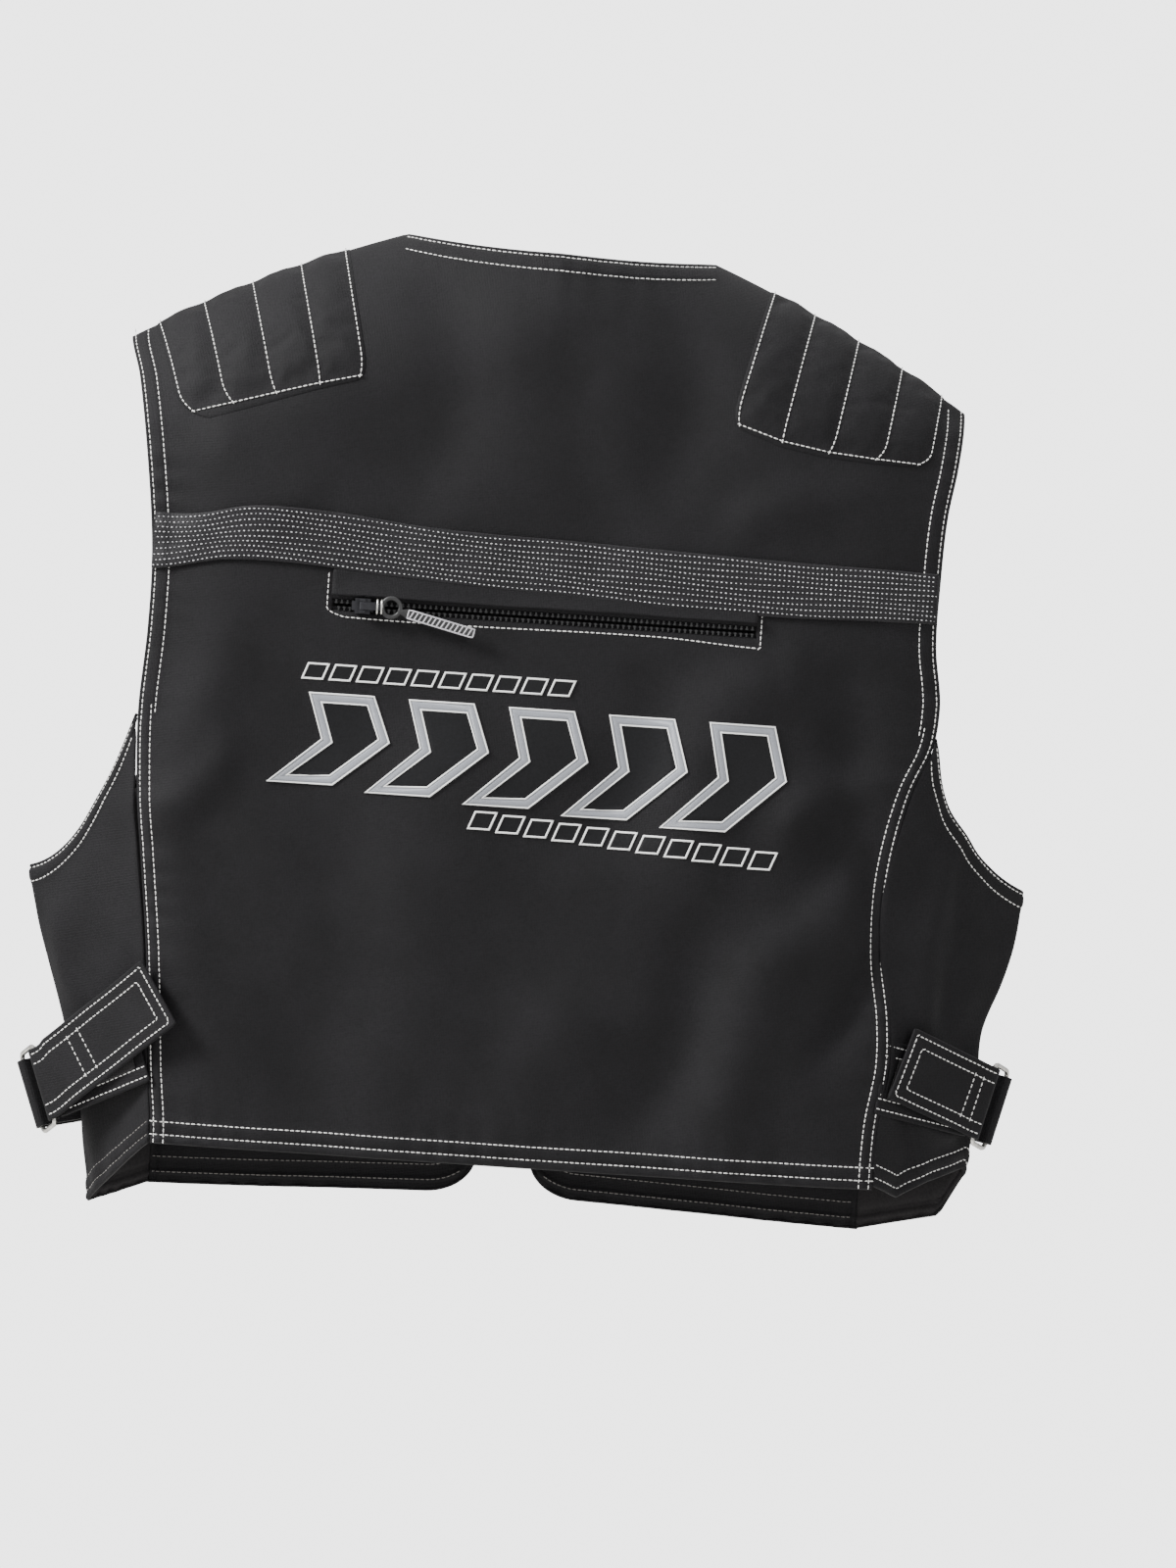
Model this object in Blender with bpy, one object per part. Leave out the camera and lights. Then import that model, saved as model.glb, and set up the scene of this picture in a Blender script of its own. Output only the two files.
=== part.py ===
"""A sleeveless motorcycle vest that carries a back protector, as separate sewn and moulded pieces.

It hangs as from a hanger: +Z is up, the back faces -Y, and the origin lies between the collar's
sides, where the neck of a hanger passes. Sizes are in millimetres and become metres in each mesh.
"""

import math

import bmesh
import bpy
from mathutils import Matrix, Vector

MM = 0.001

# Outline of the hanging vest
NECK_HALF = 80.0  # half the collar's width
NECK_DIP = 6.0  # how far the back neckline dips at its middle
SHOULDER_Z = 4.0  # height of the shoulder line at the collar
SHOULDER_SLOPE = 0.36
SHOULDER_BEND = 0.0009  # extra fall with the square of the distance, per millimetre
SHOULDER_HALF = 217.0
ARMHOLE_HALF = 200.0  # half the back's width at its narrowest
SEAM_TOP_Z = -243.0  # where the back seam leaves the armhole
SEAM_TOP_HALF = 204.0
SEAM_HALF = 187.5
UNDERARM_Z = -322.0
UNDERARM_HALF = 257.0
WAIST_Z = -420.0
WAIST_HALF = 238.0
SIDE_HEM_HALF = 214.0
BACK_HEM_Z = -467.0
FRONT_HEM_Z = -494.0
SIDE_HEM_Z = -503.0
FRONT_NECK_Z = -95.0
FRONT_GAP_HALF = 14.0  # the open front's edge, from the middle
FRONT_ARMHOLE_HALF = 182.0
FRONT_SEAM_HALF = 190.0
FRONT_SEAM_TOP_Z = -250.0

# Depth of the hanging vest
BACK_DEPTH = 46.0
FRONT_DEPTH = 45.0
SIDE_DEPTH = 5.0  # how far in front of the hanger line the side fold lies
FLAT_HALF = 120.0  # half the width that hangs flat
ROUND_DEPTH = 0.24  # share of the depth lost at the armholes
ROUND_RUN = 80.0
SHOULDER_RUN = 90.0  # how far below the shoulder line the full depth is reached

# Cloth and seams
CLOTH = 1.6
SEAM_GAP = 0.6
REST_GAP = 0.3  # between pieces that touch
LAY_GAP = 0.5  # between a curved panel and what is sewn onto it
FACING = 1.0
FACING_WIDTH = 16.0

# Reflective band and back pocket
BAND_TOP_Z = -147.0
BAND_BOTTOM_Z = -176.0
BAND_THICK = 0.9
ZIP_Z = -188.5
POCKET_LEFT = -104.0
POCKET_RIGHT = 112.0
MOUTH_HALF = 4.0  # half the height of the slot that the zip fills
FLAP_BOTTOM_Z = -184.0
POCKET_DEPTH = 228.0
PAD_THICK = 9.0
PAD_MARGIN = 14.0

# Pocket zip
TAPE = 0.8
TAPE_WIDTH = 11.0
CHAIN_GAP = 0.6  # half the gap that the slider's post runs in
CHAIN_WIDTH = 2.3
CHAIN_THICK = 2.0
TOOTH_PITCH = 5.4
SLIDER_LENGTH = 11.0
SLIDER_HALF = 3.9
SLIDER_PLATE = 1.3
SLIDER_START_X = -88.0
RUN_GAP = 0.4  # between the slider and what it slides over
PIN_R = 0.7
PIN_LIFT = 2.5  # from the slider's plate to its pin

# Front zip
FRONT_ZIP_TOP_Z = -104.0
FRONT_ZIP_BOTTOM_Z = -457.0
FRONT_CHAIN_WIDTH = 2.9
FRONT_CHAIN_THICK = 2.6
FRONT_TAPE_WIDTH = 12.0
BOX_HEIGHT = 10.0

# Shoulder pads
PAD_INNER_X = 98.0
PAD_OUTER_X = 200.0
PAD_BACK_RUN = 62.0  # how far down the back it reaches
PAD_FRONT_RUN = 55.0
FOAM_THICK = 2.4
FOAM_INSET = 5.0
COVER_THICK = 1.0

# Side straps
STRAP_WIDTH = 38.0
STRAP_THICK = 1.6
STRAP_RISE = {"left": math.radians(25.0), "right": math.radians(17.0)}
STRAP_OUT = math.radians(30.0)  # between the strap and the flat of the back
RING_Z = {"left": -443.0, "right": -421.0}
RING_X = {"left": 237.5, "right": 246.0}
BAR_R = 1.3
RING_SPAN = 17.0  # between the ring's two long bars
RING_TURN = math.radians(30.0)
TAB_LENGTH = {"left": 76.0, "right": 58.0}
PATCH_THICK = 0.8
TAB_LIFT = {"left": math.radians(12.0), "right": math.radians(2.5)}
SIGNS = {"left": -1.0, "right": 1.0}


# ---------------------------------------------------------------- materials and meshes


def material(name, colour, roughness, metallic=0.0):
    made = bpy.data.materials.get(name)
    if made is None:
        made = bpy.data.materials.new(name)
        made.use_nodes = True
        shader = made.node_tree.nodes["Principled BSDF"]
        shader.inputs["Base Color"].default_value = (*colour, 1.0)
        shader.inputs["Roughness"].default_value = roughness
        shader.inputs["Metallic"].default_value = metallic
    return made


def nylon():
    return material("black_nylon", (0.018, 0.018, 0.021), 0.75)


def webbing():
    return material("black_webbing", (0.022, 0.022, 0.024), 0.85)


def foam():
    return material("grey_foam", (0.12, 0.12, 0.13), 0.95)


def steel():
    return material("nickel_steel", (0.62, 0.61, 0.59), 0.28, 1.0)


def black_metal():
    return material("black_zinc", (0.03, 0.03, 0.032), 0.35, 0.8)


def rubber():
    return material("black_rubber", (0.02, 0.02, 0.02), 0.6)


def reflective():
    return material("reflective_tape", (0.05, 0.05, 0.05), 0.5)


def add_object(name, mesh_builder, finish, pivot=Vector((0.0, 0.0, 0.0))):
    """An object whose mesh is given in millimetres; its origin is moved to the pivot."""
    mesh_builder.transform(Matrix.Translation(-pivot))
    bmesh.ops.recalc_face_normals(mesh_builder, faces=mesh_builder.faces)
    if mesh_builder.calc_volume(signed=True) < 0:
        bmesh.ops.reverse_faces(mesh_builder, faces=mesh_builder.faces)
    mesh_builder.transform(Matrix.Scale(MM, 4))
    mesh = bpy.data.meshes.new(name)
    mesh_builder.to_mesh(mesh)
    mesh_builder.free()
    mesh.materials.append(finish)
    mesh.shade_smooth()
    mesh.set_sharp_from_angle(angle=math.radians(35))
    made = bpy.data.objects.new(name, mesh)
    made.location = pivot * MM
    bpy.context.scene.collection.objects.link(made)
    return made


def between(start, end, share):
    return start + (end - start) * share


def steps(start, end, count):
    return [between(start, end, i / count) for i in range(count + 1)]


def curve_at(points, place):
    """A smooth curve through (place, value) points in falling order of place."""
    if place >= points[0][0]:
        return points[0][1]
    if place <= points[-1][0]:
        return points[-1][1]
    i = next(k for k in range(len(points) - 1) if place >= points[k + 1][0])

    def slope(k):
        if k in (0, len(points) - 1):
            return 0.0
        before, after = points[k - 1], points[k + 1]
        return (after[1] - before[1]) / (after[0] - before[0])

    (p0, v0), (p1, v1) = points[i], points[i + 1]
    run = p1 - p0
    t = (place - p0) / run
    rise = (1 + 2 * t) * (1 - t) ** 2 * v0 + t * t * (3 - 2 * t) * v1
    return rise + run * (t * (1 - t) ** 2 * slope(i) - t * t * (1 - t) * slope(i + 1))


# ---------------------------------------------------------------- shape of the hanging vest


def shoulder_z(x):
    """Height of the ridge where back and front meet, carried on over the neck opening."""
    out = abs(x) - NECK_HALF
    return SHOULDER_Z - SHOULDER_SLOPE * out - SHOULDER_BEND * max(out, 0.0) ** 2


SHOULDER_TIP_Z = shoulder_z(SHOULDER_HALF)


def depth_share(x, z):
    """Share of the full depth at a point: none on the shoulder ridge, all well below it."""
    fall = min(max((shoulder_z(x) - z) / SHOULDER_RUN, 0.0), 1.0)
    rounding = ROUND_DEPTH * (max(abs(x) - FLAT_HALF, 0.0) / ROUND_RUN) ** 2
    return (1 - (1 - fall) ** 2.2) ** 0.75 * (1 - rounding)


def back_half(z):
    """Half the back's width: the armhole's edge above, the back seam below."""
    return curve_at(
        [
            (SHOULDER_TIP_Z, SHOULDER_HALF),
            (SHOULDER_TIP_Z - 70, ARMHOLE_HALF + 3),
            (-190.0, ARMHOLE_HALF),
            (SEAM_TOP_Z, SEAM_TOP_HALF),
            (-300.0, SEAM_HALF + 3),
            (-345.0, SEAM_HALF),
            (BACK_HEM_Z, SEAM_HALF - 3),
        ],
        z,
    )


def front_half(z):
    """Half the front's width at its armhole edge and, lower, at its side seam."""
    return curve_at(
        [
            (SHOULDER_TIP_Z, SHOULDER_HALF),
            (SHOULDER_TIP_Z - 55, FRONT_ARMHOLE_HALF + 10),
            (-185.0, FRONT_ARMHOLE_HALF),
            (FRONT_SEAM_TOP_Z, FRONT_SEAM_HALF - 3),
            (-310.0, FRONT_SEAM_HALF),
            (FRONT_HEM_Z, FRONT_SEAM_HALF - 4),
        ],
        z,
    )


def side_half(z):
    return curve_at(
        [
            (UNDERARM_Z, UNDERARM_HALF),
            (WAIST_Z, WAIST_HALF),
            (SIDE_HEM_Z, SIDE_HEM_HALF),
        ],
        z,
    )


def back_point(share, z):
    """On the back, share runs from -1 at the left edge to 1 at the right."""
    x = share * back_half(z)
    return Vector((x, -BACK_DEPTH * depth_share(x, z), z))


def front_surface(x, z):
    return Vector((x, FRONT_DEPTH * depth_share(x, z), z))


def front_point(sign):
    """On one front, share runs from 0 at the side seam to 1 at the opening."""

    def point(share, z):
        outer = front_half(z)
        return front_surface(sign * between(outer, FRONT_GAP_HALF, share), z)

    return point


def side_point(sign):
    """On one side panel, turn runs from 0 at the back seam over 1 at the side fold to 2."""

    def point(turn, z):
        back_x = back_half(z) + SEAM_GAP
        front_x = front_half(z) + SEAM_GAP
        back_y = -BACK_DEPTH * depth_share(back_x, z)
        front_y = FRONT_DEPTH * depth_share(front_x, z)
        if turn <= 1:
            x = between(back_x, side_half(z), turn)
            y = between(back_y, SIDE_DEPTH, turn)
        else:
            x = between(side_half(z), front_x, turn - 1)
            y = between(SIDE_DEPTH, front_y, turn - 1)
        return Vector((sign * x, y, z))

    return point


def over_shoulder(x, run):
    """On the shoulder: run is the fall below the ridge, negative on the back."""
    z = shoulder_z(x) - abs(run)
    depth = FRONT_DEPTH if run > 0 else -BACK_DEPTH
    return Vector((x, depth * depth_share(x, z), z))


def back_top(share):
    """Height of the back's top edge: neckline in the middle, shoulder line outside it."""
    z = SHOULDER_TIP_Z
    for _ in range(12):
        x = abs(share) * back_half(z)
        z = shoulder_z(x) - REST_GAP
        if x < NECK_HALF:
            z = min(z, SHOULDER_Z - NECK_DIP * (1 - (x / NECK_HALF) ** 2.5))
    return z


def front_top(share):
    """Height of a front's top edge: shoulder line outside, the lower neckline inside."""
    z = SHOULDER_TIP_Z
    for _ in range(12):
        x = between(front_half(z), FRONT_GAP_HALF, share)
        z = shoulder_z(x) - REST_GAP
        if x < NECK_HALF:
            rise = SHOULDER_Z - FRONT_NECK_Z
            z = min(z, FRONT_NECK_Z + rise * (x / NECK_HALF) ** 1.6)
    return z


def side_facing(sign):
    """Offset directions of a side panel; along a seam they are those of its neighbour."""

    def facing(turn, z):
        if turn == 0:
            return outward(back_point, sign, z, INSIDE)
        if turn == 2:
            return outward(front_point(sign), 0.0, z, INSIDE)
        return outward(side_point(sign), turn, z, INSIDE)

    return facing


def armhole_z(turn):
    """Height of a side panel's top edge, lowest at the side fold."""
    top = SEAM_TOP_Z if turn < 1 else FRONT_SEAM_TOP_Z
    return UNDERARM_Z + (top - UNDERARM_Z) * abs(1 - turn) ** 1.7


def side_hem(turn):
    ends = BACK_HEM_Z if turn < 1 else FRONT_HEM_Z
    swing = 0.5 - 0.5 * math.cos(math.pi * (1 - abs(1 - turn)))
    return between(ends, SIDE_HEM_Z, swing)


# ---------------------------------------------------------------- sheets


def outward(surface, u, v, inside):
    """The surface's unit normal, pointing away from a point inside the vest."""
    du = surface(u + 0.002, v) - surface(u - 0.002, v)
    dv = surface(u, v + 0.5) - surface(u, v - 0.5)
    normal = du.cross(dv).normalized()
    here = surface(u, v)
    away = here - Vector((inside[0] * here.x, inside[1], here.z + inside[2]))
    return normal if normal.dot(away) > 0 else -normal


INSIDE = (0.8, 0.0, -30.0)
ROW_CROWDING = 1.6


def sheet(surface, columns, low, high, rows, offsets, keep=None, facing=None):
    """A closed sheet between two offsets of a surface.

    columns are the surface's first parameter; low and high give its second at each column,
    with the rows closer together near high. keep moves a point that would cross a seam plane.
    facing gives the directions of the offset where they aren't the surface's own.
    """
    made = bmesh.new()
    skins = []
    for offset in offsets:
        skin = []
        for u in columns:
            line = []
            for k in range(rows + 1):
                v = between(high(u), low(u), (k / rows) ** ROW_CROWDING)
                normal = facing(u, v) if facing else outward(surface, u, v, INSIDE)
                point = surface(u, v) + normal * offset
                line.append(made.verts.new(keep(point) if keep else point))
            skin.append(line)
        skins.append(skin)
    close_skins(made, skins)
    return made


def close_skins(made, skins):
    """Faces of two matching grids of vertices and of the wall round their edges."""
    last_u, last_v = len(skins[0]) - 1, len(skins[0][0]) - 1
    for skin in skins:
        for i in range(last_u):
            for j in range(last_v):
                a, b = skin[i][j], skin[i + 1][j]
                c, d = skin[i + 1][j + 1], skin[i][j + 1]
                made.faces.new((a, b, c))
                made.faces.new((a, c, d))
    rim = [(i, 0) for i in range(last_u)]
    rim += [(last_u, j) for j in range(last_v)]
    rim += [(i, last_v) for i in range(last_u, 0, -1)]
    rim += [(0, j) for j in range(last_v, 0, -1)]
    for k, (i, j) in enumerate(rim):
        m, n = rim[(k + 1) % len(rim)]
        made.faces.new((skins[0][i][j], skins[0][m][n], skins[1][m][n], skins[1][i][j]))


def back_side(point):
    """Keeps a point on the back's side of the shoulder seam."""
    return Vector((point.x, min(point.y, -REST_GAP), point.z))


def front_side(point):
    return Vector((point.x, max(point.y, REST_GAP), point.z))


def pocket_columns(count):
    """Columns across the back, with a pair at each end of the pocket's mouth."""
    half = back_half(ZIP_Z)
    ends = [POCKET_LEFT / half, POCKET_RIGHT / half]
    pairs = [end + side / half for end in ends for side in (-0.25, 0.25)]
    flats = [-FLAT_HALF / half, FLAT_HALF / half]
    plain = [s for s in steps(-1, 1, count) if all(abs(s - p) > 0.03 for p in pairs + flats)]
    return sorted(plain + pairs + flats)


def mouth_edge(side):
    """Edge of the yoke (side 1) or lower back (side -1) along the pocket's mouth."""

    def edge(share):
        x = share * back_half(ZIP_Z)
        reach = MOUTH_HALF if POCKET_LEFT < x < POCKET_RIGHT else SEAM_GAP / 2
        return ZIP_Z + side * reach

    return edge


def make_back():
    columns = pocket_columns(24)
    yoke = sheet(back_point, columns, mouth_edge(1), back_top, 18, (-CLOTH, 0), back_side)
    add_object("back_yoke", yoke, nylon())
    lower = sheet(
        back_point, columns, lambda s: BACK_HEM_Z, mouth_edge(-1), 12, (-CLOTH, 0), back_side
    )
    add_object("back_panel", lower, nylon())


def make_fronts():
    for side, sign in SIGNS.items():
        panel = sheet(
            front_point(sign),
            steps(0, 1, 14),
            front_hem,
            front_top,
            22,
            (-CLOTH, 0),
            front_side,
        )
        add_object(f"front_panel_{side}", panel, nylon())


def front_hem(share):
    """The front's hem, rounded up at the opening's corner."""
    corner = 0.9
    lift = max(share - corner, 0.0) / (1 - corner)
    return FRONT_HEM_Z + 18.0 * lift**2


def make_sides():
    turns = [0, 0.25, 0.5, 0.72, 0.86, 1, 1.14, 1.28, 1.5, 1.75, 2]
    for side, sign in SIGNS.items():
        facing = side_facing(sign)
        panel = sheet(
            side_point(sign), turns, side_hem, armhole_z, 10, (-CLOTH, 0), None, facing
        )
        add_object(f"side_panel_{side}", panel, nylon())


def make_neck_facing():
    """A strip turned in along the back of the collar."""
    collar = (NECK_HALF - 22) / back_half(SHOULDER_TIP_Z)
    inner = -CLOTH - LAY_GAP
    neck = sheet(
        back_point,
        steps(-collar, collar, 12),
        lambda s: back_top(s) - 3 - FACING_WIDTH,
        lambda s: back_top(s) - 3,
        6,
        (inner - FACING, inner),
    )
    add_object("neck_facing", neck, nylon())


def make_band():
    flats = [-FLAT_HALF / ARMHOLE_HALF, FLAT_HALF / ARMHOLE_HALF]
    columns = sorted(steps(-0.99, 0.99, 20) + flats)
    band = sheet(
        back_point,
        columns,
        lambda s: BAND_BOTTOM_Z,
        lambda s: BAND_TOP_Z,
        4,
        (LAY_GAP, LAY_GAP + BAND_THICK),
    )
    add_object("reflective_band", band, reflective())


def make_shoulder_pads():
    runs = [-PAD_BACK_RUN, -48, -36, -26, -18, -12, -7, -4, -1.8, -0.7, 0]
    runs += [0.7, 1.8, 4, 7, 12, 18, 26, 36, 46, PAD_FRONT_RUN]
    foam_low, foam_high = LAY_GAP, LAY_GAP + FOAM_THICK
    cover_low = foam_high + LAY_GAP
    for side, sign in SIGNS.items():
        for name, skin, cut, finish in (
            ("foam", (foam_low, foam_high), FOAM_INSET, foam()),
            ("cover", (cover_low, cover_low + COVER_THICK), 0.0, nylon()),
        ):
            made = bmesh.new()
            xs = steps(PAD_INNER_X + cut, PAD_OUTER_X - cut, 8)
            share = 1 - cut / PAD_BACK_RUN
            skins = []
            for offset in skin:
                grid = []
                for x in xs:
                    line = []
                    for run in runs:
                        here = over_shoulder(sign * x, run * share)
                        normal = ridge_normal(sign * x, run * share)
                        line.append(made.verts.new(here + normal * offset))
                    grid.append(line)
                skins.append(grid)
            close_skins(made, skins)
            add_object(f"shoulder_{name}_{side}", made, finish)


def ridge_normal(x, run):
    """Outward normal on the shoulder, sampled widely enough to turn over the ridge."""
    dx = over_shoulder(x + 1, run) - over_shoulder(x - 1, run)
    dr = over_shoulder(x, run + 2.5) - over_shoulder(x, run - 2.5)
    normal = dx.cross(dr).normalized()
    return normal if normal.z > 0 else -normal


# ---------------------------------------------------------------- boxes, combs and bars


def block(low, high):
    """A box between two corners."""
    made = bmesh.new()
    bmesh.ops.create_cube(made, size=1.0)
    low, high = Vector(low), Vector(high)
    size = high - low
    for vertex in made.verts:
        share = vertex.co + Vector((0.5, 0.5, 0.5))
        vertex.co = Vector(low[k] + size[k] * share[k] for k in range(3))
    return made


def prism(outline, origin, across, up, along, length):
    """An outline in the plane of across and up, drawn out along a direction."""
    made = bmesh.new()
    near = [made.verts.new(origin + across * a + up * b) for a, b in outline]
    face = made.faces.new(near)
    grown = bmesh.ops.extrude_face_region(made, geom=[face])["geom"]
    moved = [g for g in grown if isinstance(g, bmesh.types.BMVert)]
    bmesh.ops.translate(made, verts=moved, vec=along * length)
    bmesh.ops.triangulate(made, faces=made.faces)
    return made


def joined(*parts):
    """Several closed meshes in one, to be united by a Boolean."""
    made = bmesh.new()
    for part in parts:
        mesh = bpy.data.meshes.new("joined")
        part.to_mesh(mesh)
        part.free()
        made.from_mesh(mesh)
        bpy.data.meshes.remove(mesh)
    return made


def unite(target, *others):
    """Boolean unions of helper objects, which are then hidden from the build."""
    for other in others:
        other.hide_render = True
        other.display_type = "WIRE"
        other.hide_viewport = False
        cut = target.modifiers.new("join_" + other.name, "BOOLEAN")
        cut.operation = "UNION"
        cut.object = other
    return target


def comb(start, end, width, tooth, pitch):
    """Outline of one half of a zip's chain: a strip with a tooth at each pitch."""
    count = int((end - start) // pitch)
    outline = [(start, 0.0), (end, 0.0), (end, width - tooth)]
    for i in reversed(range(count)):
        left = start + pitch * (i + 0.25)
        right = left + pitch * 0.5
        outline += [(right, width - tooth), (right, width), (left, width), (left, width - tooth)]
    return outline + [(start, width - tooth)]


def rod(start, end, radius, sides=10):
    """A round bar between two points."""
    made = bmesh.new()
    run = end - start
    bmesh.ops.create_cone(
        made, cap_ends=True, segments=sides, radius1=radius, radius2=radius, depth=run.length
    )
    turn = Vector((0, 0, 1)).rotation_difference(run).to_matrix().to_4x4()
    made.transform(Matrix.Translation((start + end) / 2) @ turn)
    return made


# ---------------------------------------------------------------- back pocket


CHAIN_OUT_Y = -BACK_DEPTH - 0.4
CHAIN_IN_Y = CHAIN_OUT_Y + CHAIN_THICK
TAPE_OUT_Y = -BACK_DEPTH + CLOTH + REST_GAP
TAPE_IN_Y = TAPE_OUT_Y + TAPE


def make_pocket():
    flap = block(
        (POCKET_LEFT, -BACK_DEPTH - REST_GAP - BAND_THICK, FLAP_BOTTOM_Z),
        (POCKET_RIGHT, -BACK_DEPTH - REST_GAP, BAND_BOTTOM_Z - REST_GAP),
    )
    add_object("pocket_flap", flap, nylon())
    for name, side in (("upper", 1.0), ("lower", -1.0)):
        inner = ZIP_Z + side * (CHAIN_GAP + 0.4)
        outer = inner + side * TAPE_WIDTH
        tape = block(
            (POCKET_LEFT, TAPE_OUT_Y, min(inner, outer)),
            (POCKET_RIGHT, TAPE_IN_Y, max(inner, outer)),
        )
        add_object(f"pocket_zip_tape_{name}", tape, webbing())
        start = ZIP_Z + side * (CHAIN_GAP + CHAIN_WIDTH)
        chain = prism(
            comb(POCKET_LEFT + 1, POCKET_RIGHT - 1, CHAIN_WIDTH, 1.0, TOOTH_PITCH),
            Vector((0, CHAIN_OUT_Y, start)),
            Vector((1, 0, 0)),
            Vector((0, 0, -side)),
            Vector((0, 1, 0)),
            min(CHAIN_THICK, TAPE_OUT_Y - REST_GAP - CHAIN_OUT_Y),
        )
        add_object(f"pocket_zip_chain_{name}", chain, rubber())
    pad_top = ZIP_Z - CHAIN_GAP - TAPE_WIDTH - PAD_MARGIN / 2
    pocket_bottom = ZIP_Z - POCKET_DEPTH
    pad_out_y = -BACK_DEPTH + CLOTH + REST_GAP
    pad = block(
        (POCKET_LEFT + PAD_MARGIN, pad_out_y, pocket_bottom + PAD_MARGIN),
        (POCKET_RIGHT - PAD_MARGIN, pad_out_y + PAD_THICK, pad_top),
    )
    bmesh.ops.bevel(
        pad,
        geom=[e for e in pad.edges if abs(e.verts[0].co.y - e.verts[1].co.y) > 1],
        offset=24.0,
        segments=4,
        affect="EDGES",
    )
    bmesh.ops.triangulate(pad, faces=pad.faces)
    add_object("back_protector_pad", pad, foam())
    make_pocket_bag(pad_out_y + PAD_THICK + REST_GAP, pocket_bottom)


def make_pocket_bag(bag_y, bottom):
    """The inner cloth of the pocket: a tray whose rim is sewn to the back round the pad."""
    rim_y = -BACK_DEPTH + CLOTH + REST_GAP
    wall = FACING
    top = ZIP_Z - CHAIN_GAP - TAPE_WIDTH - 1.5
    left, right = POCKET_LEFT + 2, POCKET_RIGHT - 2
    slope = PAD_MARGIN - 4
    rings = []
    made = bmesh.new()
    for cut, y in (
        (0.0, rim_y),
        (slope, bag_y),
        (slope + wall, bag_y + wall),
        (-wall, rim_y + wall),
    ):
        lift = 0.0 if cut <= 0 else cut
        corners = [
            (left + cut, y, bottom + cut),
            (right - cut, y, bottom + cut),
            (right - cut, y, top - min(lift, 3.0)),
            (left + cut, y, top - min(lift, 3.0)),
        ]
        rings.append([made.verts.new(c) for c in corners])
    inner_rim, inner_floor, outer_floor, outer_rim = rings
    made.faces.new(inner_floor)
    made.faces.new(outer_floor)
    for low, high in ((inner_rim, inner_floor), (outer_floor, outer_rim), (outer_rim, inner_rim)):
        for k in range(4):
            m = (k + 1) % 4
            made.faces.new((low[k], low[m], high[m], high[k]))
    bmesh.ops.triangulate(made, faces=made.faces)
    add_object("pocket_bag", made, nylon())


PIN_Y = CHAIN_OUT_Y - RUN_GAP - SLIDER_PLATE - PIN_LIFT


def make_pocket_slider():
    pivot = Vector((SLIDER_START_X, PIN_Y, ZIP_Z))
    half = SLIDER_LENGTH / 2
    outer_y = CHAIN_OUT_Y - RUN_GAP
    inner_y = TAPE_IN_Y + RUN_GAP
    top = block(
        (pivot.x - half, outer_y - SLIDER_PLATE, ZIP_Z - SLIDER_HALF),
        (pivot.x + half, outer_y, ZIP_Z + SLIDER_HALF),
    )
    bmesh.ops.bevel(
        top,
        geom=[e for e in top.edges if abs(e.verts[0].co.y - e.verts[1].co.y) > 1],
        offset=1.6,
        segments=2,
        affect="EDGES",
    )
    slider = add_object("pocket_slider", top, black_metal(), pivot)
    post = block(
        (pivot.x - half + 1, outer_y - 0.5, ZIP_Z - CHAIN_GAP + 0.2),
        (pivot.x + half - 1, inner_y + 0.5, ZIP_Z + CHAIN_GAP - 0.2),
    )
    under = block(
        (pivot.x - half + 0.5, inner_y, ZIP_Z - SLIDER_HALF + 0.6),
        (pivot.x + half - 0.5, inner_y + SLIDER_PLATE, ZIP_Z + SLIDER_HALF - 0.6),
    )
    pin = rod(pivot - Vector((0, 0, 3.4)), pivot + Vector((0, 0, 3.4)), PIN_R, 8)
    helpers = [post, under, pin]
    for end in (-1, 1):
        lug = block(
            (pivot.x - 1.6, pivot.y - 1.2, pivot.z + end * 2.9 - 0.7),
            (pivot.x + 1.6, outer_y - 0.4, pivot.z + end * 2.9 + 0.7),
        )
        helpers.append(lug)
    shapes = [
        add_object(f"pocket_slider_join_{k}", helper, black_metal())
        for k, helper in enumerate(helpers)
    ]
    unite(slider, *shapes)


PULL_REACH = 10.0
PULL_HALF = 1.9
EYE_R = PIN_R + 0.3


def hook_outline(inner, wall, upper, lower, sides=8):
    """A strip folded round a bar: half a turn, then legs of two lengths."""
    outer = inner + wall
    arc = [math.pi / 2 + math.pi * i / sides for i in range(sides + 1)]
    outside = [(outer * math.cos(a), outer * math.sin(a)) for a in arc]
    inside = [(inner * math.cos(a), inner * math.sin(a)) for a in reversed(arc)]
    return [(upper, outer)] + outside + [(lower, -outer), (lower, -inner)] + inside + [(upper, inner)]


def make_pocket_pull():
    """A metal pull hooked over the slider's pin, with a bar at its free end."""
    pivot = Vector((SLIDER_START_X, PIN_Y, ZIP_Z))
    along = Vector((0, 0, 1))
    shape = prism(
        hook_outline(EYE_R, 0.9, PULL_REACH, 0.5),
        pivot - along * PULL_HALF,
        Vector((1, 0, 0)),
        Vector((0, -1, 0)),
        along,
        2 * PULL_HALF,
    )
    return add_object("pocket_pull", shape, steel(), pivot)


RING_R = 3.4
RING_WIRE = 0.9
TAG_LENGTH = 41.0
TAG_DROP = math.radians(13.0)


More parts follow.
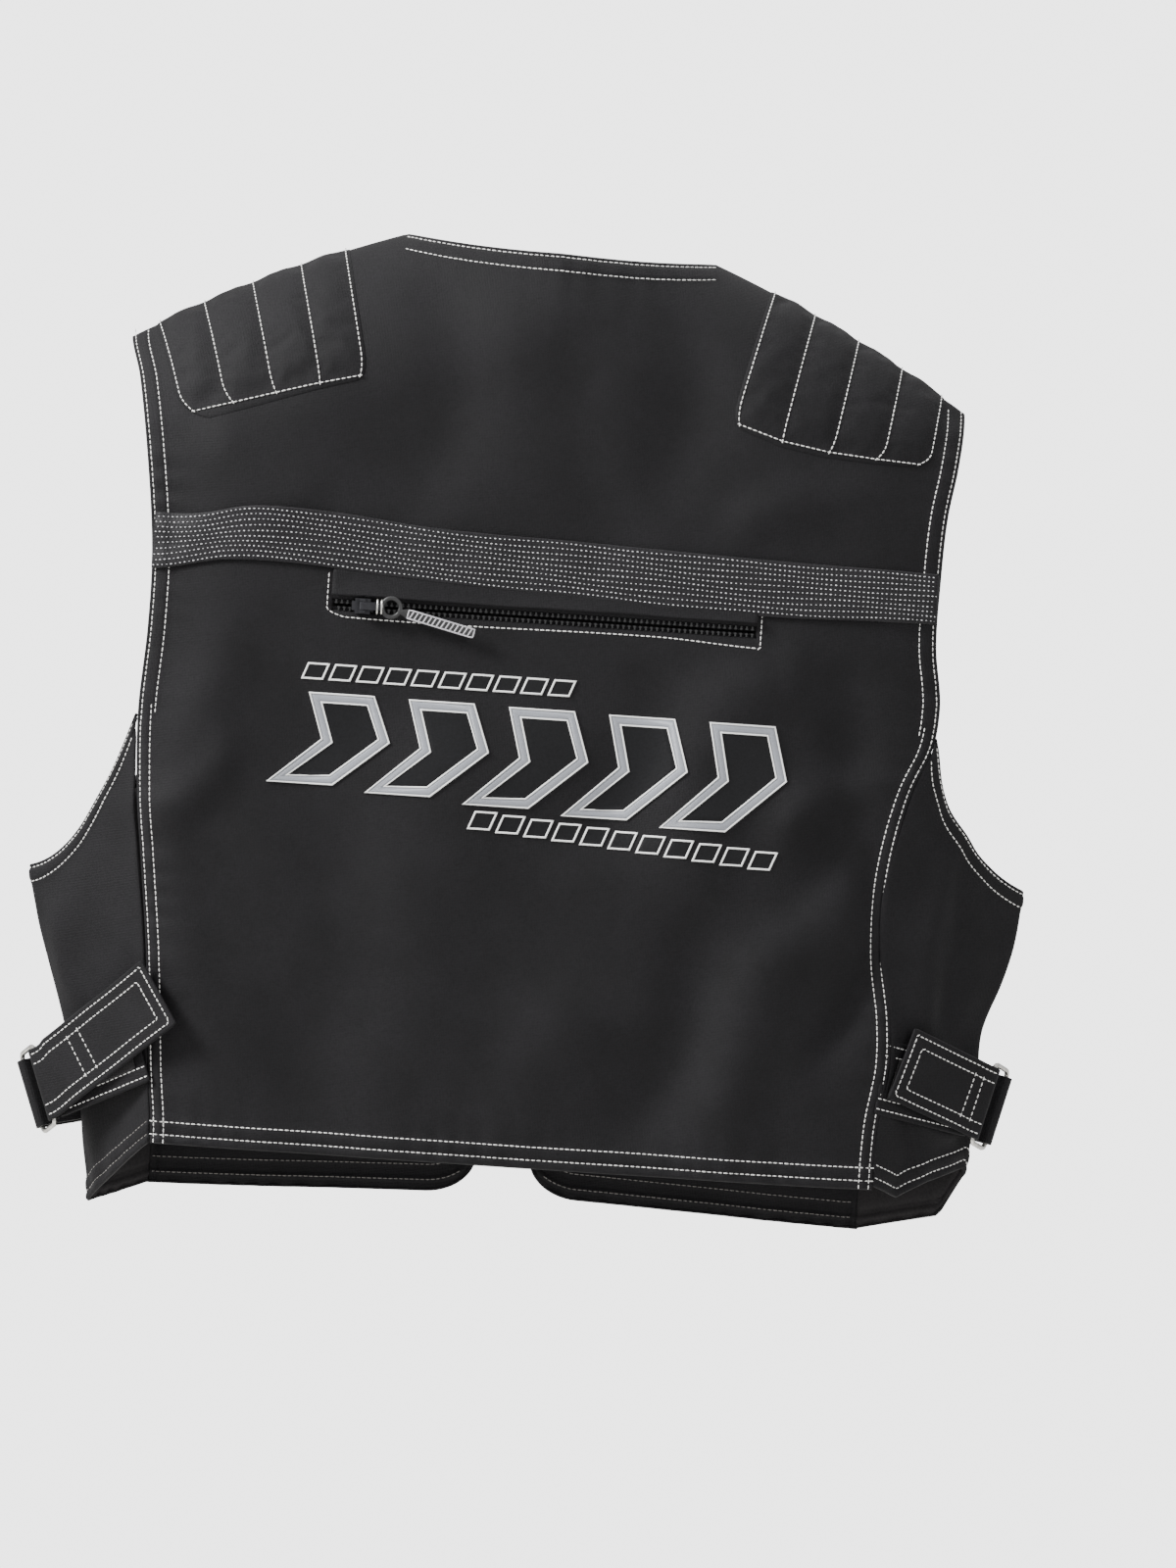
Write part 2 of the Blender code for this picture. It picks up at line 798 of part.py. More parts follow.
def torus(centre, axis, radius, wire, turns=14, sides=6):
    """A closed ring of round wire about an axis."""
    made = bmesh.new()
    side = axis.orthogonal().normalized()
    other = axis.cross(side)
    loops = []
    for i in range(turns):
        a = 2 * math.pi * i / turns
        out = side * math.cos(a) + other * math.sin(a)
        loop = []
        for k in range(sides):
            b = 2 * math.pi * k / sides
            place = centre + out * (radius + wire * math.cos(b)) + axis * (wire * math.sin(b))
            loop.append(made.verts.new(place))
        loops.append(loop)
    for i, loop in enumerate(loops):
        after = loops[(i + 1) % turns]
        for k in range(sides):
            m = (k + 1) % sides
            made.faces.new((loop[k], loop[m], after[m], after[k]))
    bmesh.ops.triangulate(made, faces=made.faces)
    return made


def make_pull_tag():
    """A rubber ring past the pull's end and the moulded grip tag that it carries."""
    start = Vector((SLIDER_START_X + PULL_REACH + REST_GAP, PIN_Y - EYE_R - 0.45, ZIP_Z))
    ring = torus(
        start + Vector((RING_R + RING_WIRE, 0, 0)), Vector((0, -1, 0)), RING_R, RING_WIRE
    )
    add_object("pull_ring", ring, rubber(), start)
    along = Vector((math.cos(TAG_DROP), 0, -math.sin(TAG_DROP)))
    across = Vector((math.sin(TAG_DROP), 0, math.cos(TAG_DROP)))
    root = start + Vector((2 * (RING_R + RING_WIRE) + REST_GAP, 0.8, -0.6))
    outline = [(0, -1.4), (4, -2.6), (TAG_LENGTH, -2.6), (TAG_LENGTH, 2.6), (4, 2.6), (0, 1.4)]
    tag = prism(outline, root, along, across, Vector((0, -1, 0)), 1.6)
    add_object("pull_tag", tag, rubber(), start)


# ---------------------------------------------------------------- front zip


def make_front_zip():
    inner_y = FRONT_DEPTH - CLOTH - REST_GAP
    chain_x = FRONT_GAP_HALF - 3.3
    for side, sign in SIGNS.items():
        near, far = chain_x + REST_GAP, chain_x + REST_GAP + FRONT_TAPE_WIDTH
        tape = block(
            (min(sign * near, sign * far), inner_y - TAPE, FRONT_ZIP_BOTTOM_Z - BOX_HEIGHT),
            (max(sign * near, sign * far), inner_y, FRONT_ZIP_TOP_Z + 3),
        )
        add_object(f"front_zip_tape_{side}", tape, webbing())
        chain = prism(
            comb(FRONT_ZIP_BOTTOM_Z, FRONT_ZIP_TOP_Z, FRONT_CHAIN_WIDTH, 1.3, TOOTH_PITCH),
            Vector((sign * chain_x, inner_y - FRONT_CHAIN_THICK + 0.6, 0)),
            Vector((0, 0, 1)),
            Vector((-sign, 0, 0)),
            Vector((0, 1, 0)),
            FRONT_CHAIN_THICK,
        )
        add_object(f"front_zip_chain_{side}", chain, rubber())
    make_front_box(chain_x, inner_y)
    make_front_slider(chain_x, inner_y)


def make_front_box(chain_x, inner_y):
    """Retainer box under the right chain and the insertion pin under the left one."""
    top = FRONT_ZIP_BOTTOM_Z - REST_GAP
    box = block(
        (chain_x - 7, inner_y - 3.2, top - BOX_HEIGHT), (chain_x, inner_y + 1.2, top)
    )
    add_object("front_zip_box", box, rubber())
    pin = block(
        (-chain_x, inner_y - 1.8, top - BOX_HEIGHT), (-chain_x + 2.4, inner_y + 0.4, top)
    )
    add_object("front_zip_pin", pin, rubber())


FRONT_SLIDER_HALF = 6.5


def make_front_slider(chain_x, inner_y):
    middle_z = FRONT_ZIP_BOTTOM_Z + FRONT_SLIDER_HALF + 1.0
    low_y = inner_y - FRONT_CHAIN_THICK + 0.6 - RUN_GAP
    high_y = inner_y + 0.6 + RUN_GAP
    inner_x = chain_x - FRONT_CHAIN_WIDTH - RUN_GAP
    across = Vector((1, 0, 0))
    out = Vector((0, 1, 0))
    outline = [
        (inner_x - 5.0, low_y - SLIDER_PLATE),
        (chain_x, low_y - SLIDER_PLATE),
        (chain_x, low_y),
        (inner_x, low_y),
        (inner_x, high_y),
        (chain_x, high_y),
        (chain_x, high_y + SLIDER_PLATE),
        (inner_x - 5.0, high_y + SLIDER_PLATE),
    ]
    pivot = Vector((inner_x + 0.5, high_y + SLIDER_PLATE + PIN_LIFT, middle_z + 3.0))
    body = prism(
        outline,
        Vector((0, 0, middle_z - FRONT_SLIDER_HALF)),
        across,
        out,
        Vector((0, 0, 1)),
        2 * FRONT_SLIDER_HALF,
    )
    slider = add_object("front_slider", body, black_metal(), pivot)
    helpers = [rod(pivot - across * 3.4, pivot + across * 3.4, PIN_R, 8)]
    for end in (-1, 1):
        x = pivot.x + end * 2.9
        helpers.append(
            block(
                (x - 0.7, high_y + SLIDER_PLATE - 0.4, pivot.z - 1.6),
                (x + 0.7, pivot.y + 1.2, pivot.z + 1.6),
            )
        )
    shapes = [
        add_object(f"front_slider_join_{k}", helper, black_metal())
        for k, helper in enumerate(helpers)
    ]
    unite(slider, *shapes)
    pull = prism(
        hook_outline(EYE_R, 0.9, 24.0, 0.5),
        pivot - across * PULL_HALF,
        Vector((0, 0, -1)),
        out,
        across,
        2 * PULL_HALF,
    )
    add_object("front_pull", pull, black_metal(), pivot)


# ---------------------------------------------------------------- side straps


BAR_GAP = 0.3
ANCHOR_LIFT = 6.0  # clear of the front panel along its whole width
FOLD_R = BAR_R + BAR_GAP + STRAP_THICK  # outside of the cloth folded round the ring's bar
BASE_OUT = 0.5  # the base strap's inner face, above the line from seam to ring
LOOP_PATCH_LOW = BASE_OUT + STRAP_THICK + REST_GAP
HOOK_PATCH_LOW = LOOP_PATCH_LOW + PATCH_THICK + REST_GAP
TAB_LOW = HOOK_PATCH_LOW + PATCH_THICK + REST_GAP
BAR_OUT = TAB_LOW - BAR_R - BAR_GAP


class StrapFrame:
    """Directions and places of one side's adjuster strap."""

    def __init__(self, side):
        sign = SIGNS[side]
        rise = STRAP_RISE[side]
        inward = Vector((-sign * math.cos(STRAP_OUT), -math.sin(STRAP_OUT), 0))
        self.outward = Vector((sign * math.sin(STRAP_OUT), -math.cos(STRAP_OUT), 0))
        up = Vector((0, 0, 1))
        self.run = inward * math.cos(rise) + up * math.sin(rise)
        self.axis = -inward * math.sin(rise) + up * math.cos(rise)
        self.length = (RING_X[side] - SEAM_HALF) / (math.cos(STRAP_OUT) * math.cos(rise))
        seam = back_point(sign, RING_Z[side] + self.length * math.sin(rise))
        self.foot = seam - self.run * self.length
        self.bar = self.foot + self.outward * BAR_OUT
        turn = Matrix.Rotation(sign * RING_TURN, 3, self.axis)
        self.ring_run = turn @ (-self.run)
        self.far_bar = self.bar + self.ring_run * RING_SPAN

    def plate(self, start, end, low, high, trim=0.0):
        """A flat strip of the strap from start to end, between two heights."""
        half = STRAP_WIDTH / 2 - trim
        made = block((start, -half, low), (end, half, high))
        for vertex in made.verts:
            a, b, c = vertex.co
            vertex.co = self.foot + self.run * a + self.axis * b + self.outward * c
        return made


def make_strap(side):
    frame = StrapFrame(side)
    start = FOLD_R + BAR_GAP
    base = frame.plate(start, frame.length - 1.0, BASE_OUT, BASE_OUT + STRAP_THICK)
    add_object(f"strap_base_{side}", base, webbing())
    patch_end = frame.length - 6.0
    loop_patch = frame.plate(
        12.0, patch_end, LOOP_PATCH_LOW, LOOP_PATCH_LOW + PATCH_THICK, 5.0
    )
    add_object(f"strap_loop_patch_{side}", loop_patch, webbing())
    make_tab(side, frame)
    make_ring(side, frame)
    make_anchor(side, frame)


def lean(made, frame, side):
    """Turns the part of a strap past the fold within its own plane."""
    slope = math.tan(TAB_LIFT[side])
    for vertex in made.verts:
        along = (vertex.co - frame.bar).dot(frame.run)
        across = (vertex.co - frame.bar).dot(frame.axis)
        if along > FOLD_R:
            vertex.co += frame.axis * (along * slope)
            if along > TAB_LENGTH[side] / 2:
                vertex.co -= frame.run * (across * slope)
    return made


def make_tab(side, frame):
    """The loose end of the strap, folded round the ring's bar, and its hook patch."""
    outline = hook_outline(BAR_R + BAR_GAP, STRAP_THICK, TAB_LENGTH[side], 0.5)
    tab = prism(
        outline,
        frame.bar - frame.axis * STRAP_WIDTH / 2,
        frame.run,
        frame.outward,
        frame.axis,
        STRAP_WIDTH,
    )
    lean(tab, frame, side)
    add_object(f"strap_tab_{side}", tab, webbing(), frame.bar)
    hook_patch = frame.plate(
        TAB_LENGTH[side] - 38.0, TAB_LENGTH[side] - 8.0, HOOK_PATCH_LOW, HOOK_PATCH_LOW + PATCH_THICK, 6.0
    )
    lean(hook_patch, frame, side)
    add_object(f"strap_hook_patch_{side}", hook_patch, webbing(), frame.bar)


def make_ring(side, frame):
    """A rectangular wire ring with round corners, swept round its own path."""
    half = STRAP_WIDTH / 2 + 2.2
    corner = 3.0
    path = []
    for run, across in ((0, -half), (RING_SPAN, -half), (RING_SPAN, half), (0, half)):
        in_run = corner if run == 0 else -corner
        in_across = corner if across < 0 else -corner
        centre = (run + in_run, across + in_across)
        first = math.atan2(-in_across, -in_run)
        for k in range(4):
            turn = first + math.radians(-45 + 30 * k)
            path.append(
                (centre[0] + corner * math.cos(turn), centre[1] + corner * math.sin(turn))
            )
    made = bmesh.new()
    facing = frame.ring_run.cross(frame.axis)
    loops = []
    for i, (run, across) in enumerate(path):
        before, after = path[i - 1], path[(i + 1) % len(path)]
        tangent = Vector((after[0] - before[0], after[1] - before[1])).normalized()
        out = frame.ring_run * tangent.y - frame.axis * tangent.x
        middle = frame.bar + frame.ring_run * run + frame.axis * across
        loop = []
        for k in range(8):
            a = math.pi * k / 4
            loop.append(
                made.verts.new(middle + (out * math.cos(a) + facing * math.sin(a)) * BAR_R)
            )
        loops.append(loop)
    for i, loop in enumerate(loops):
        after = loops[(i + 1) % len(loops)]
        for k in range(8):
            m = (k + 1) % 8
            made.faces.new((loop[k], loop[m], after[m], after[k]))
    bmesh.ops.triangulate(made, faces=made.faces)
    add_object(f"strap_ring_{side}", made, steel(), frame.far_bar)


def make_anchor(side, frame):
    """The short folded strap that holds the ring to the front seam."""
    sign = SIGNS[side]
    height = frame.far_bar.z
    seam = front_surface(sign * front_half(height), height)
    normal = Vector((sign * 0.6, 0.8, 0))
    target = seam + normal * (FOLD_R + ANCHOR_LIFT)
    run = target - frame.far_bar
    run -= frame.axis * run.dot(frame.axis)
    length = run.length - 1.0
    run.normalize()
    out = frame.axis.cross(run)
    outline = hook_outline(BAR_R + BAR_GAP, STRAP_THICK, length, length)
    width = STRAP_WIDTH - 2
    anchor = prism(
        outline, frame.far_bar - frame.axis * width / 2, run, out, frame.axis, width
    )
    add_object(f"strap_anchor_{side}", anchor, webbing())


def main():
    for leftover in list(bpy.data.objects):
        bpy.data.objects.remove(leftover)
    make_back()
    make_fronts()
    make_sides()
    make_neck_facing()
    make_band()
    make_shoulder_pads()
    make_pocket()
    make_pocket_slider()
    make_pocket_pull()
    make_pull_tag()
    make_front_zip()
    for side in SIGNS:
        make_strap(side)


main()
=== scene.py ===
import math

import bmesh
import bpy
import numpy as np
from mathutils import Matrix, Vector


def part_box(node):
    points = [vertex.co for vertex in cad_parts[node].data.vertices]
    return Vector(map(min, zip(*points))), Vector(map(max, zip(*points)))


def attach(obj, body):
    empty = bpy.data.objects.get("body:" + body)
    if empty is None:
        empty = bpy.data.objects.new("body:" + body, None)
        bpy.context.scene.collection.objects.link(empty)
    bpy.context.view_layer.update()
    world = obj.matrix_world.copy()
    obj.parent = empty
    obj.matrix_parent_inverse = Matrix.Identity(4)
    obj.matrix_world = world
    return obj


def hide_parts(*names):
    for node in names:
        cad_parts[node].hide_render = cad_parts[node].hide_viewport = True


# A sleeveless riding vest seen from its back. Lengths in this script are in millimetres,
# and become metres when a mesh is made.

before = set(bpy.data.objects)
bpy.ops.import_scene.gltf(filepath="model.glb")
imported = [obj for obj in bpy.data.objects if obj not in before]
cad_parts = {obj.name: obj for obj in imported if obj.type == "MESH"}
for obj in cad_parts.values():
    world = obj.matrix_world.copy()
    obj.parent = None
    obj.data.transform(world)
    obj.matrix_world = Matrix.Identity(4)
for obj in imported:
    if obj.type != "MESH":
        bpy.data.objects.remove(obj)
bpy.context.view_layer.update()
mm = 0.001


# camera, light and floor

view = {
    "middle": (0.0317, 0.0, -0.2707),  # what the middle of the picture shows
    "distance": 2.3,
    "tall": 0.8096,  # how much height the picture takes in at the vest
    "roll": math.radians(3.8),
    "floorZ": -1.6,
    "floorHalf": 3.8,
    "worldLight": 1.0,
    "worldShown": 3.4,
}
lights = [
    # name, place, what it points at, width and height, watts
    ("keyLight", (-1.9, -0.9, 1.1), (0, 0, -0.25), (0.8, 0.8), 165),
    ("fillLight", (1.4, -2.4, 0.3), (0, 0, -0.3), (1.2, 1.8), 34),
    ("topLight", (0.2, 0.1, 1.9), (0, 0.1, 0), (1.6, 1.0), 26),
]


def makeCamera():
    lens = bpy.data.cameras.new("camera")
    lens.sensor_fit = "VERTICAL"
    lens.sensor_height = 32.0
    lens.lens = 32.0 * view["distance"] / view["tall"]
    lens.clip_start = 0.05
    camera = bpy.data.objects.new("camera", lens)
    camera.location = Vector(view["middle"]) + Vector((0, -view["distance"], 0))
    upright = Matrix.Rotation(math.radians(90), 3, "X")
    camera.rotation_euler = (Matrix.Rotation(-view["roll"], 3, "Y") @ upright).to_euler()
    bpy.context.scene.collection.objects.link(camera)
    bpy.context.scene.camera = camera


def addLight(name, place, target, size, power):
    lamp = bpy.data.lights.new(name, "AREA")
    lamp.shape = "RECTANGLE"
    lamp.size, lamp.size_y = size
    lamp.energy = power
    made = bpy.data.objects.new(name, lamp)
    made.location = place
    aim = Vector(target) - Vector(place)
    made.rotation_euler = aim.to_track_quat("-Z", "Y").to_euler()
    bpy.context.scene.collection.objects.link(made)


def makeStage():
    half, low = view["floorHalf"], view["floorZ"]
    corners = [(-half, -half, low), (half, -half, low), (half, half, low), (-half, half, low)]
    mesh = bpy.data.meshes.new("stage")
    mesh.from_pydata(corners, [], [(0, 1, 2, 3)])
    mesh.materials.append(floorPaint())
    stage = bpy.data.objects.new("stage", mesh)
    bpy.context.scene.collection.objects.link(stage)
    world = bpy.data.worlds.new("studio")
    world.use_nodes = True
    tree = world.node_tree
    # the backdrop shows nearly white, and gives less light than it shows
    ray = addNode(tree, "ShaderNodeLightPath")
    strength = addNode(
        tree,
        "ShaderNodeMapRange",
        Value=(ray, "Is Camera Ray"),
        To_Min=view["worldLight"],
        To_Max=view["worldShown"],
    )
    sky = tree.nodes["Background"]
    sky.inputs["Color"].default_value = (1, 1, 1, 1)
    tree.links.new(strength.outputs[0], sky.inputs["Strength"])
    bpy.context.scene.world = world
    for light in lights:
        addLight(*light)


# materials


def linear(hexColour):
    parts = [int(hexColour[i : i + 2], 16) / 255 for i in (1, 3, 5)]
    return [p / 12.92 if p <= 0.04045 else ((p + 0.055) / 1.055) ** 2.4 for p in parts] + [1.0]


def addNode(tree, kind, settings=None, **links):
    # Adds a node. A link is (node, output); anything else sets the input's value.
    node = tree.nodes.new(kind)
    for key, value in (settings or {}).items():
        setattr(node, key, value)
    for key, value in links.items():
        socket = node.inputs[int(key[1:])] if key[0] == "i" and key[1:].isdigit() else None
        if socket is None:
            socket = node.inputs[key.replace("_", " ")]
        if isinstance(value, tuple) and isinstance(value[0], bpy.types.Node):
            tree.links.new(value[0].outputs[value[1]], socket)
        else:
            socket.default_value = value
    return node


def newMaterial(name, roughness, metallic=0.0, **settings):
    made = bpy.data.materials.new(name)
    made.use_nodes = True
    shader = made.node_tree.nodes["Principled BSDF"]
    shader.inputs["Roughness"].default_value = roughness
    shader.inputs["Metallic"].default_value = metallic
    for key, value in settings.items():
        shader.inputs[key.replace("_", " ")].default_value = value
    return made, made.node_tree, shader


def ramp(tree, source, low, high, start=0.0, end=1.0):
    # Two colours mixed by a factor between start and end.
    node = addNode(tree, "ShaderNodeValToRGB", i0=source)
    node.color_ramp.elements[0].position = start
    node.color_ramp.elements[1].position = end
    node.color_ramp.elements[0].color = low
    node.color_ramp.elements[1].color = high
    return node


def floorPaint():
    # white matt paint for the studio's floor, with nothing on it
    colour = linear("#F4F3F0")
    return newMaterial("plaster_paint_matt", 0.9, Base_Color=colour)[0]


def wovenCloth(name, dark, light, pitch, roughness, sheen, bump, wear=0.25):
    # Plain weave: two crossed wave patterns at the thread pitch, over slow mottling.
    made, tree, shader = newMaterial(
        name,
        roughness,
        Sheen_Weight=sheen,
        Sheen_Roughness=0.45,
        IOR=1.5,
        Specular_IOR_Level=0.12,
    )
    place = addNode(tree, "ShaderNodeTexCoord")
    threads = []
    # at scale 1 a wave band repeats every tenth of pi
    scale = math.pi / 10 / (pitch * mm)
    for direction in ("X", "Z"):
        wave = addNode(
            tree,
            "ShaderNodeTexWave",
            {"bands_direction": direction},
            Vector=(place, "Object"),
            Scale=scale,
            Distortion=1.2,
            Detail=1.0,
        )
        threads.append(wave)
    weave = addNode(
        tree,
        "ShaderNodeMath",
        {"operation": "MAXIMUM"},
        i0=(threads[0], "Fac"),
        i1=(threads[1], "Fac"),
    )
    mottle = addNode(
        tree, "ShaderNodeTexNoise", Vector=(place, "Object"), Scale=38.0, Detail=4.0, Roughness=0.6
    )
    grain = addNode(
        tree, "ShaderNodeTexNoise", Vector=(place, "Object"), Scale=900.0, Detail=2.0, Roughness=0.7
    )
    shade = addNode(
        tree,
        "ShaderNodeMath",
        {"operation": "MULTIPLY_ADD"},
        i0=(weave, 0),
        i1=0.45,
        i2=(grain, "Fac"),
    )
    colour = ramp(tree, (shade, 0), linear(dark), linear(light), 0.35, 1.1)
    worn = addNode(
        tree,
        "ShaderNodeMix",
        {"data_type": "RGBA", "blend_type": "MULTIPLY"},
        i0=wear,
        i6=(colour, 0),
        i7=(ramp(tree, (mottle, "Fac"), linear("#8A8A8A"), linear("#FFFFFF"), 0.3, 0.65), 0),
    )
    tree.links.new(worn.outputs[2], shader.inputs["Base Color"])
    rough = addNode(
        tree,
        "ShaderNodeMapRange",
        Value=(mottle, "Fac"),
        To_Min=roughness - 0.08,
        To_Max=roughness + 0.1,
    )
    tree.links.new(rough.outputs[0], shader.inputs["Roughness"])
    relief = addNode(
        tree, "ShaderNodeBump", Height=(shade, 0), Strength=bump, Distance=0.25 * mm
    )
    tree.links.new(relief.outputs[0], shader.inputs["Normal"])
    return made


def spunThread(name, colour, shadow):
    # polyester sewing thread: twisted, with painted shade in the slanting grooves of each stitch
    made, tree, shader = newMaterial(name, 0.55, Sheen_Weight=0.25, IOR=1.5)
    place = addNode(tree, "ShaderNodeTexCoord")
    twist = addNode(
        tree,
        "ShaderNodeTexWave",
        {"bands_direction": "DIAGONAL"},
        Vector=(place, "Object"),
        Scale=500.0,
        Distortion=0.6,
    )
    colours = ramp(tree, (twist, "Fac"), linear(shadow), linear(colour), 0.1, 0.6)
    tree.links.new(colours.outputs[0], shader.inputs["Base Color"])
    relief = addNode(tree, "ShaderNodeBump", Height=(twist, "Fac"), Strength=0.4, Distance=0.1 * mm)
    tree.links.new(relief.outputs[0], shader.inputs["Normal"])
    return made


def mouldedRubber(name, colour, roughness=0.5):
    # injection-moulded rubber or resin: satin, with a fine spark-eroded grain
    made, tree, shader = newMaterial(name, roughness, IOR=1.5)
    place = addNode(tree, "ShaderNodeTexCoord")
    grain = addNode(
        tree, "ShaderNodeTexNoise", Vector=(place, "Object"), Scale=1400.0, Detail=2.0
    )
    deep = linear(colour)
    light = [min(c * 1.7 + 0.004, 1) for c in deep[:3]] + [1.0]
    colours = ramp(tree, (grain, "Fac"), deep, light, 0.4, 0.75)
    tree.links.new(colours.outputs[0], shader.inputs["Base Color"])
    relief = addNode(
        tree, "ShaderNodeBump", Height=(grain, "Fac"), Strength=0.25, Distance=0.08 * mm
    )
    tree.links.new(relief.outputs[0], shader.inputs["Normal"])
    return made


def platedSteel(name, colour, roughness):
    # nickel plate on wire: bright, with small dull spots
    made, tree, shader = newMaterial(name, roughness, 1.0)
    place = addNode(tree, "ShaderNodeTexCoord")
    spots = addNode(tree, "ShaderNodeTexNoise", Vector=(place, "Object"), Scale=350.0, Detail=3.0)
    deep = [c * 0.75 for c in linear(colour)[:3]] + [1.0]
    colours = ramp(tree, (spots, "Fac"), deep, linear(colour), 0.35, 0.6)
    tree.links.new(colours.outputs[0], shader.inputs["Base Color"])
    rough = addNode(
        tree,
        "ShaderNodeMapRange",
        Value=(spots, "Fac"),
        To_Min=roughness + 0.12,
        To_Max=roughness - 0.05,
    )
    tree.links.new(rough.outputs[0], shader.inputs["Roughness"])
    return made


makeCamera()
makeStage()
print("camera, light and floor are in place")

nylon = wovenCloth("nylon_taslan_woven", "#050506", "#171618", 0.8, 0.66, 0.02, 0.9, 0.5)
lining = wovenCloth("polyester_lining_woven", "#0C0C0D", "#232122", 0.6, 0.7, 0.03, 0.4)
tape = wovenCloth("zip_tape_herringbone", "#0A0A0B", "#201F21", 1.1, 0.75, 0.03, 0.7)
thread = spunThread("polyester_thread_white", "#E6E5E2", "#8F8E8C")
# the white thread painted darker: painted shade for stitches that lie in shadow, on the left side's
# hem and inside the fronts
paintedShadeThread = spunThread("polyester_thread_white_painted_shade", "#6E6A66", "#3A3836")
resin = mouldedRubber("acetal_teeth_moulded", "#0B0B0C", 0.42)
rubber = mouldedRubber("pvc_puller_moulded", "#070708", 0.5)
nickel = platedSteel("steel_nickel_plated", "#C9C7C2", 0.26)
zinc = platedSteel("zinc_slider_black_plated", "#3B3B3E", 0.34)
reflective = wovenCloth("reflective_ribbon_black", "#080809", "#1F1E20", 1.6, 0.5, 0.04, 0.6)
dotGlass = spunThread("reflective_yarn_silver", "#C9C9CB", "#77777A")
foam = mouldedRubber("closed_cell_foam_cut", "#3A3B3E", 0.9)


# shape of the hanging vest

vest = {
    "neckHalf": 80.0,
    "shoulderZ": 4.0,
    "shoulderSlope": 0.36,
    "shoulderBend": 0.0009,
    "neckDip": 6.0,
    "backDepth": 46.0,
    "frontDepth": 45.0,
    "foldDepth": 5.0,  # the side folds, in front of the hanger line
    "flatHalf": 120.0,
    "frontNeckZ": -95.0,
    "frontGap": 14.0,
    "cloth": 1.5,
    "topTilt": 0.034,  # the shoulders hang lower on the right
}

# Edges as (height, distance from the middle), from top to bottom
edges = {
    "backLeft": [(-57, 219), (-84, 211), (-129, 202), (-174, 197), (-205, 197), (-250, 199),
                 (-286, 197), (-326, 192), (-366, 187), (-427, 182), (-467, 178)],
    "backRight": [(-60, 213), (-92, 210), (-117, 206), (-158, 204), (-190, 204), (-222, 208),
                  (-240, 206), (-262, 197), (-291, 190), (-326, 187), (-350, 188), (-382, 193),
                  (-402, 194), (-433, 190), (-467, 189)],
    "frontLeft": [(-62, 211), (-117, 192), (-185, 182), (-250, 187), (-310, 190), (-500, 186)],
    "frontRight": [(-62, 209), (-117, 192), (-185, 182), (-250, 187), (-310, 190), (-500, 188)],
    "sideLeft": [(-331, 254), (-355, 249), (-380, 241), (-410, 231), (-440, 222), (-470, 217),
                 (-503, 212)],
    "sideRight": [(-310, 260), (-335, 258), (-360, 252), (-385, 244), (-415, 243), (-445, 241),
                  (-480, 236), (-500, 232)],
}
seamTop = {"left": -250.0, "right": -236.0}  # where the back seam leaves the armhole
underarm = {"left": -331.0, "right": -311.0}
backHemZ = -467.0
sides = {"left": -1.0, "right": 1.0}


def smooth(t):
    t = np.clip(t, 0.0, 1.0)
    return t * t * (3 - 2 * t)


def follow(points, z):
    # A smooth curve through (height, value) points that fall in height.
    places = -np.array([p[0] for p in points], float)
    values = np.array([p[1] for p in points], float)
    slopes = np.gradient(values, places)
    slopes[0] = slopes[-1] = 0.0
    at = np.clip(-np.asarray(z, float), places[0], places[-1])
    i = np.clip(np.searchsorted(places, at, side="right") - 1, 0, len(places) - 2)
    run = places[i + 1] - places[i]
    t = (at - places[i]) / run
    return (
        (1 + 2 * t) * (1 - t) ** 2 * values[i]
        + t * t * (3 - 2 * t) * values[i + 1]
        + run * (t * (1 - t) ** 2 * slopes[i] - t * t * (1 - t) * slopes[i + 1])
    )


def ridgeZ(x):
    # Height of the shoulder line, where back and fronts meet.
    out = np.abs(x) - vest["neckHalf"]
    fall = vest["shoulderSlope"] * out + vest["shoulderBend"] * np.maximum(out, 0) ** 2
    return vest["shoulderZ"] - fall


def depthShare(x, z):
    fall = np.clip((ridgeZ(x) - z) / 90.0, 0.0, 1.0)
    rounding = 0.24 * (np.maximum(np.abs(x) - vest["flatHalf"], 0.0) / 80.0) ** 2
    return (1 - (1 - fall) ** 2.2) ** 0.75 * (1 - rounding)


def backEdge(side, z):
    return sides[side] * follow(edges["back" + side.capitalize()], z)


def frontEdge(side, z):
    return sides[side] * follow(edges["front" + side.capitalize()], z)


def sideEdge(side, z):
    return sides[side] * follow(edges["side" + side.capitalize()], z)


def neckZ(x):
    # The back neckline, between the shoulder lines.
    share = np.clip(np.abs(x) / vest["neckHalf"], 0, 1)
    return vest["shoulderZ"] - vest["neckDip"] * (1 - share**2.5)


def frontNeckZ(x):
    share = np.clip(np.abs(x) / vest["neckHalf"], 0, 1)
    return vest["frontNeckZ"] + (vest["shoulderZ"] - vest["frontNeckZ"]) * share**1.6


def drape(points):
    # The hang of the whole vest: its shoulders tip, and the rest stays level.
    z = points[..., 2]
    x = points[..., 0]
    out = points.copy()
    out[..., 2] = z - vest["topTilt"] * x * smooth((z + 190) / 130)
    return out


# folds and seams

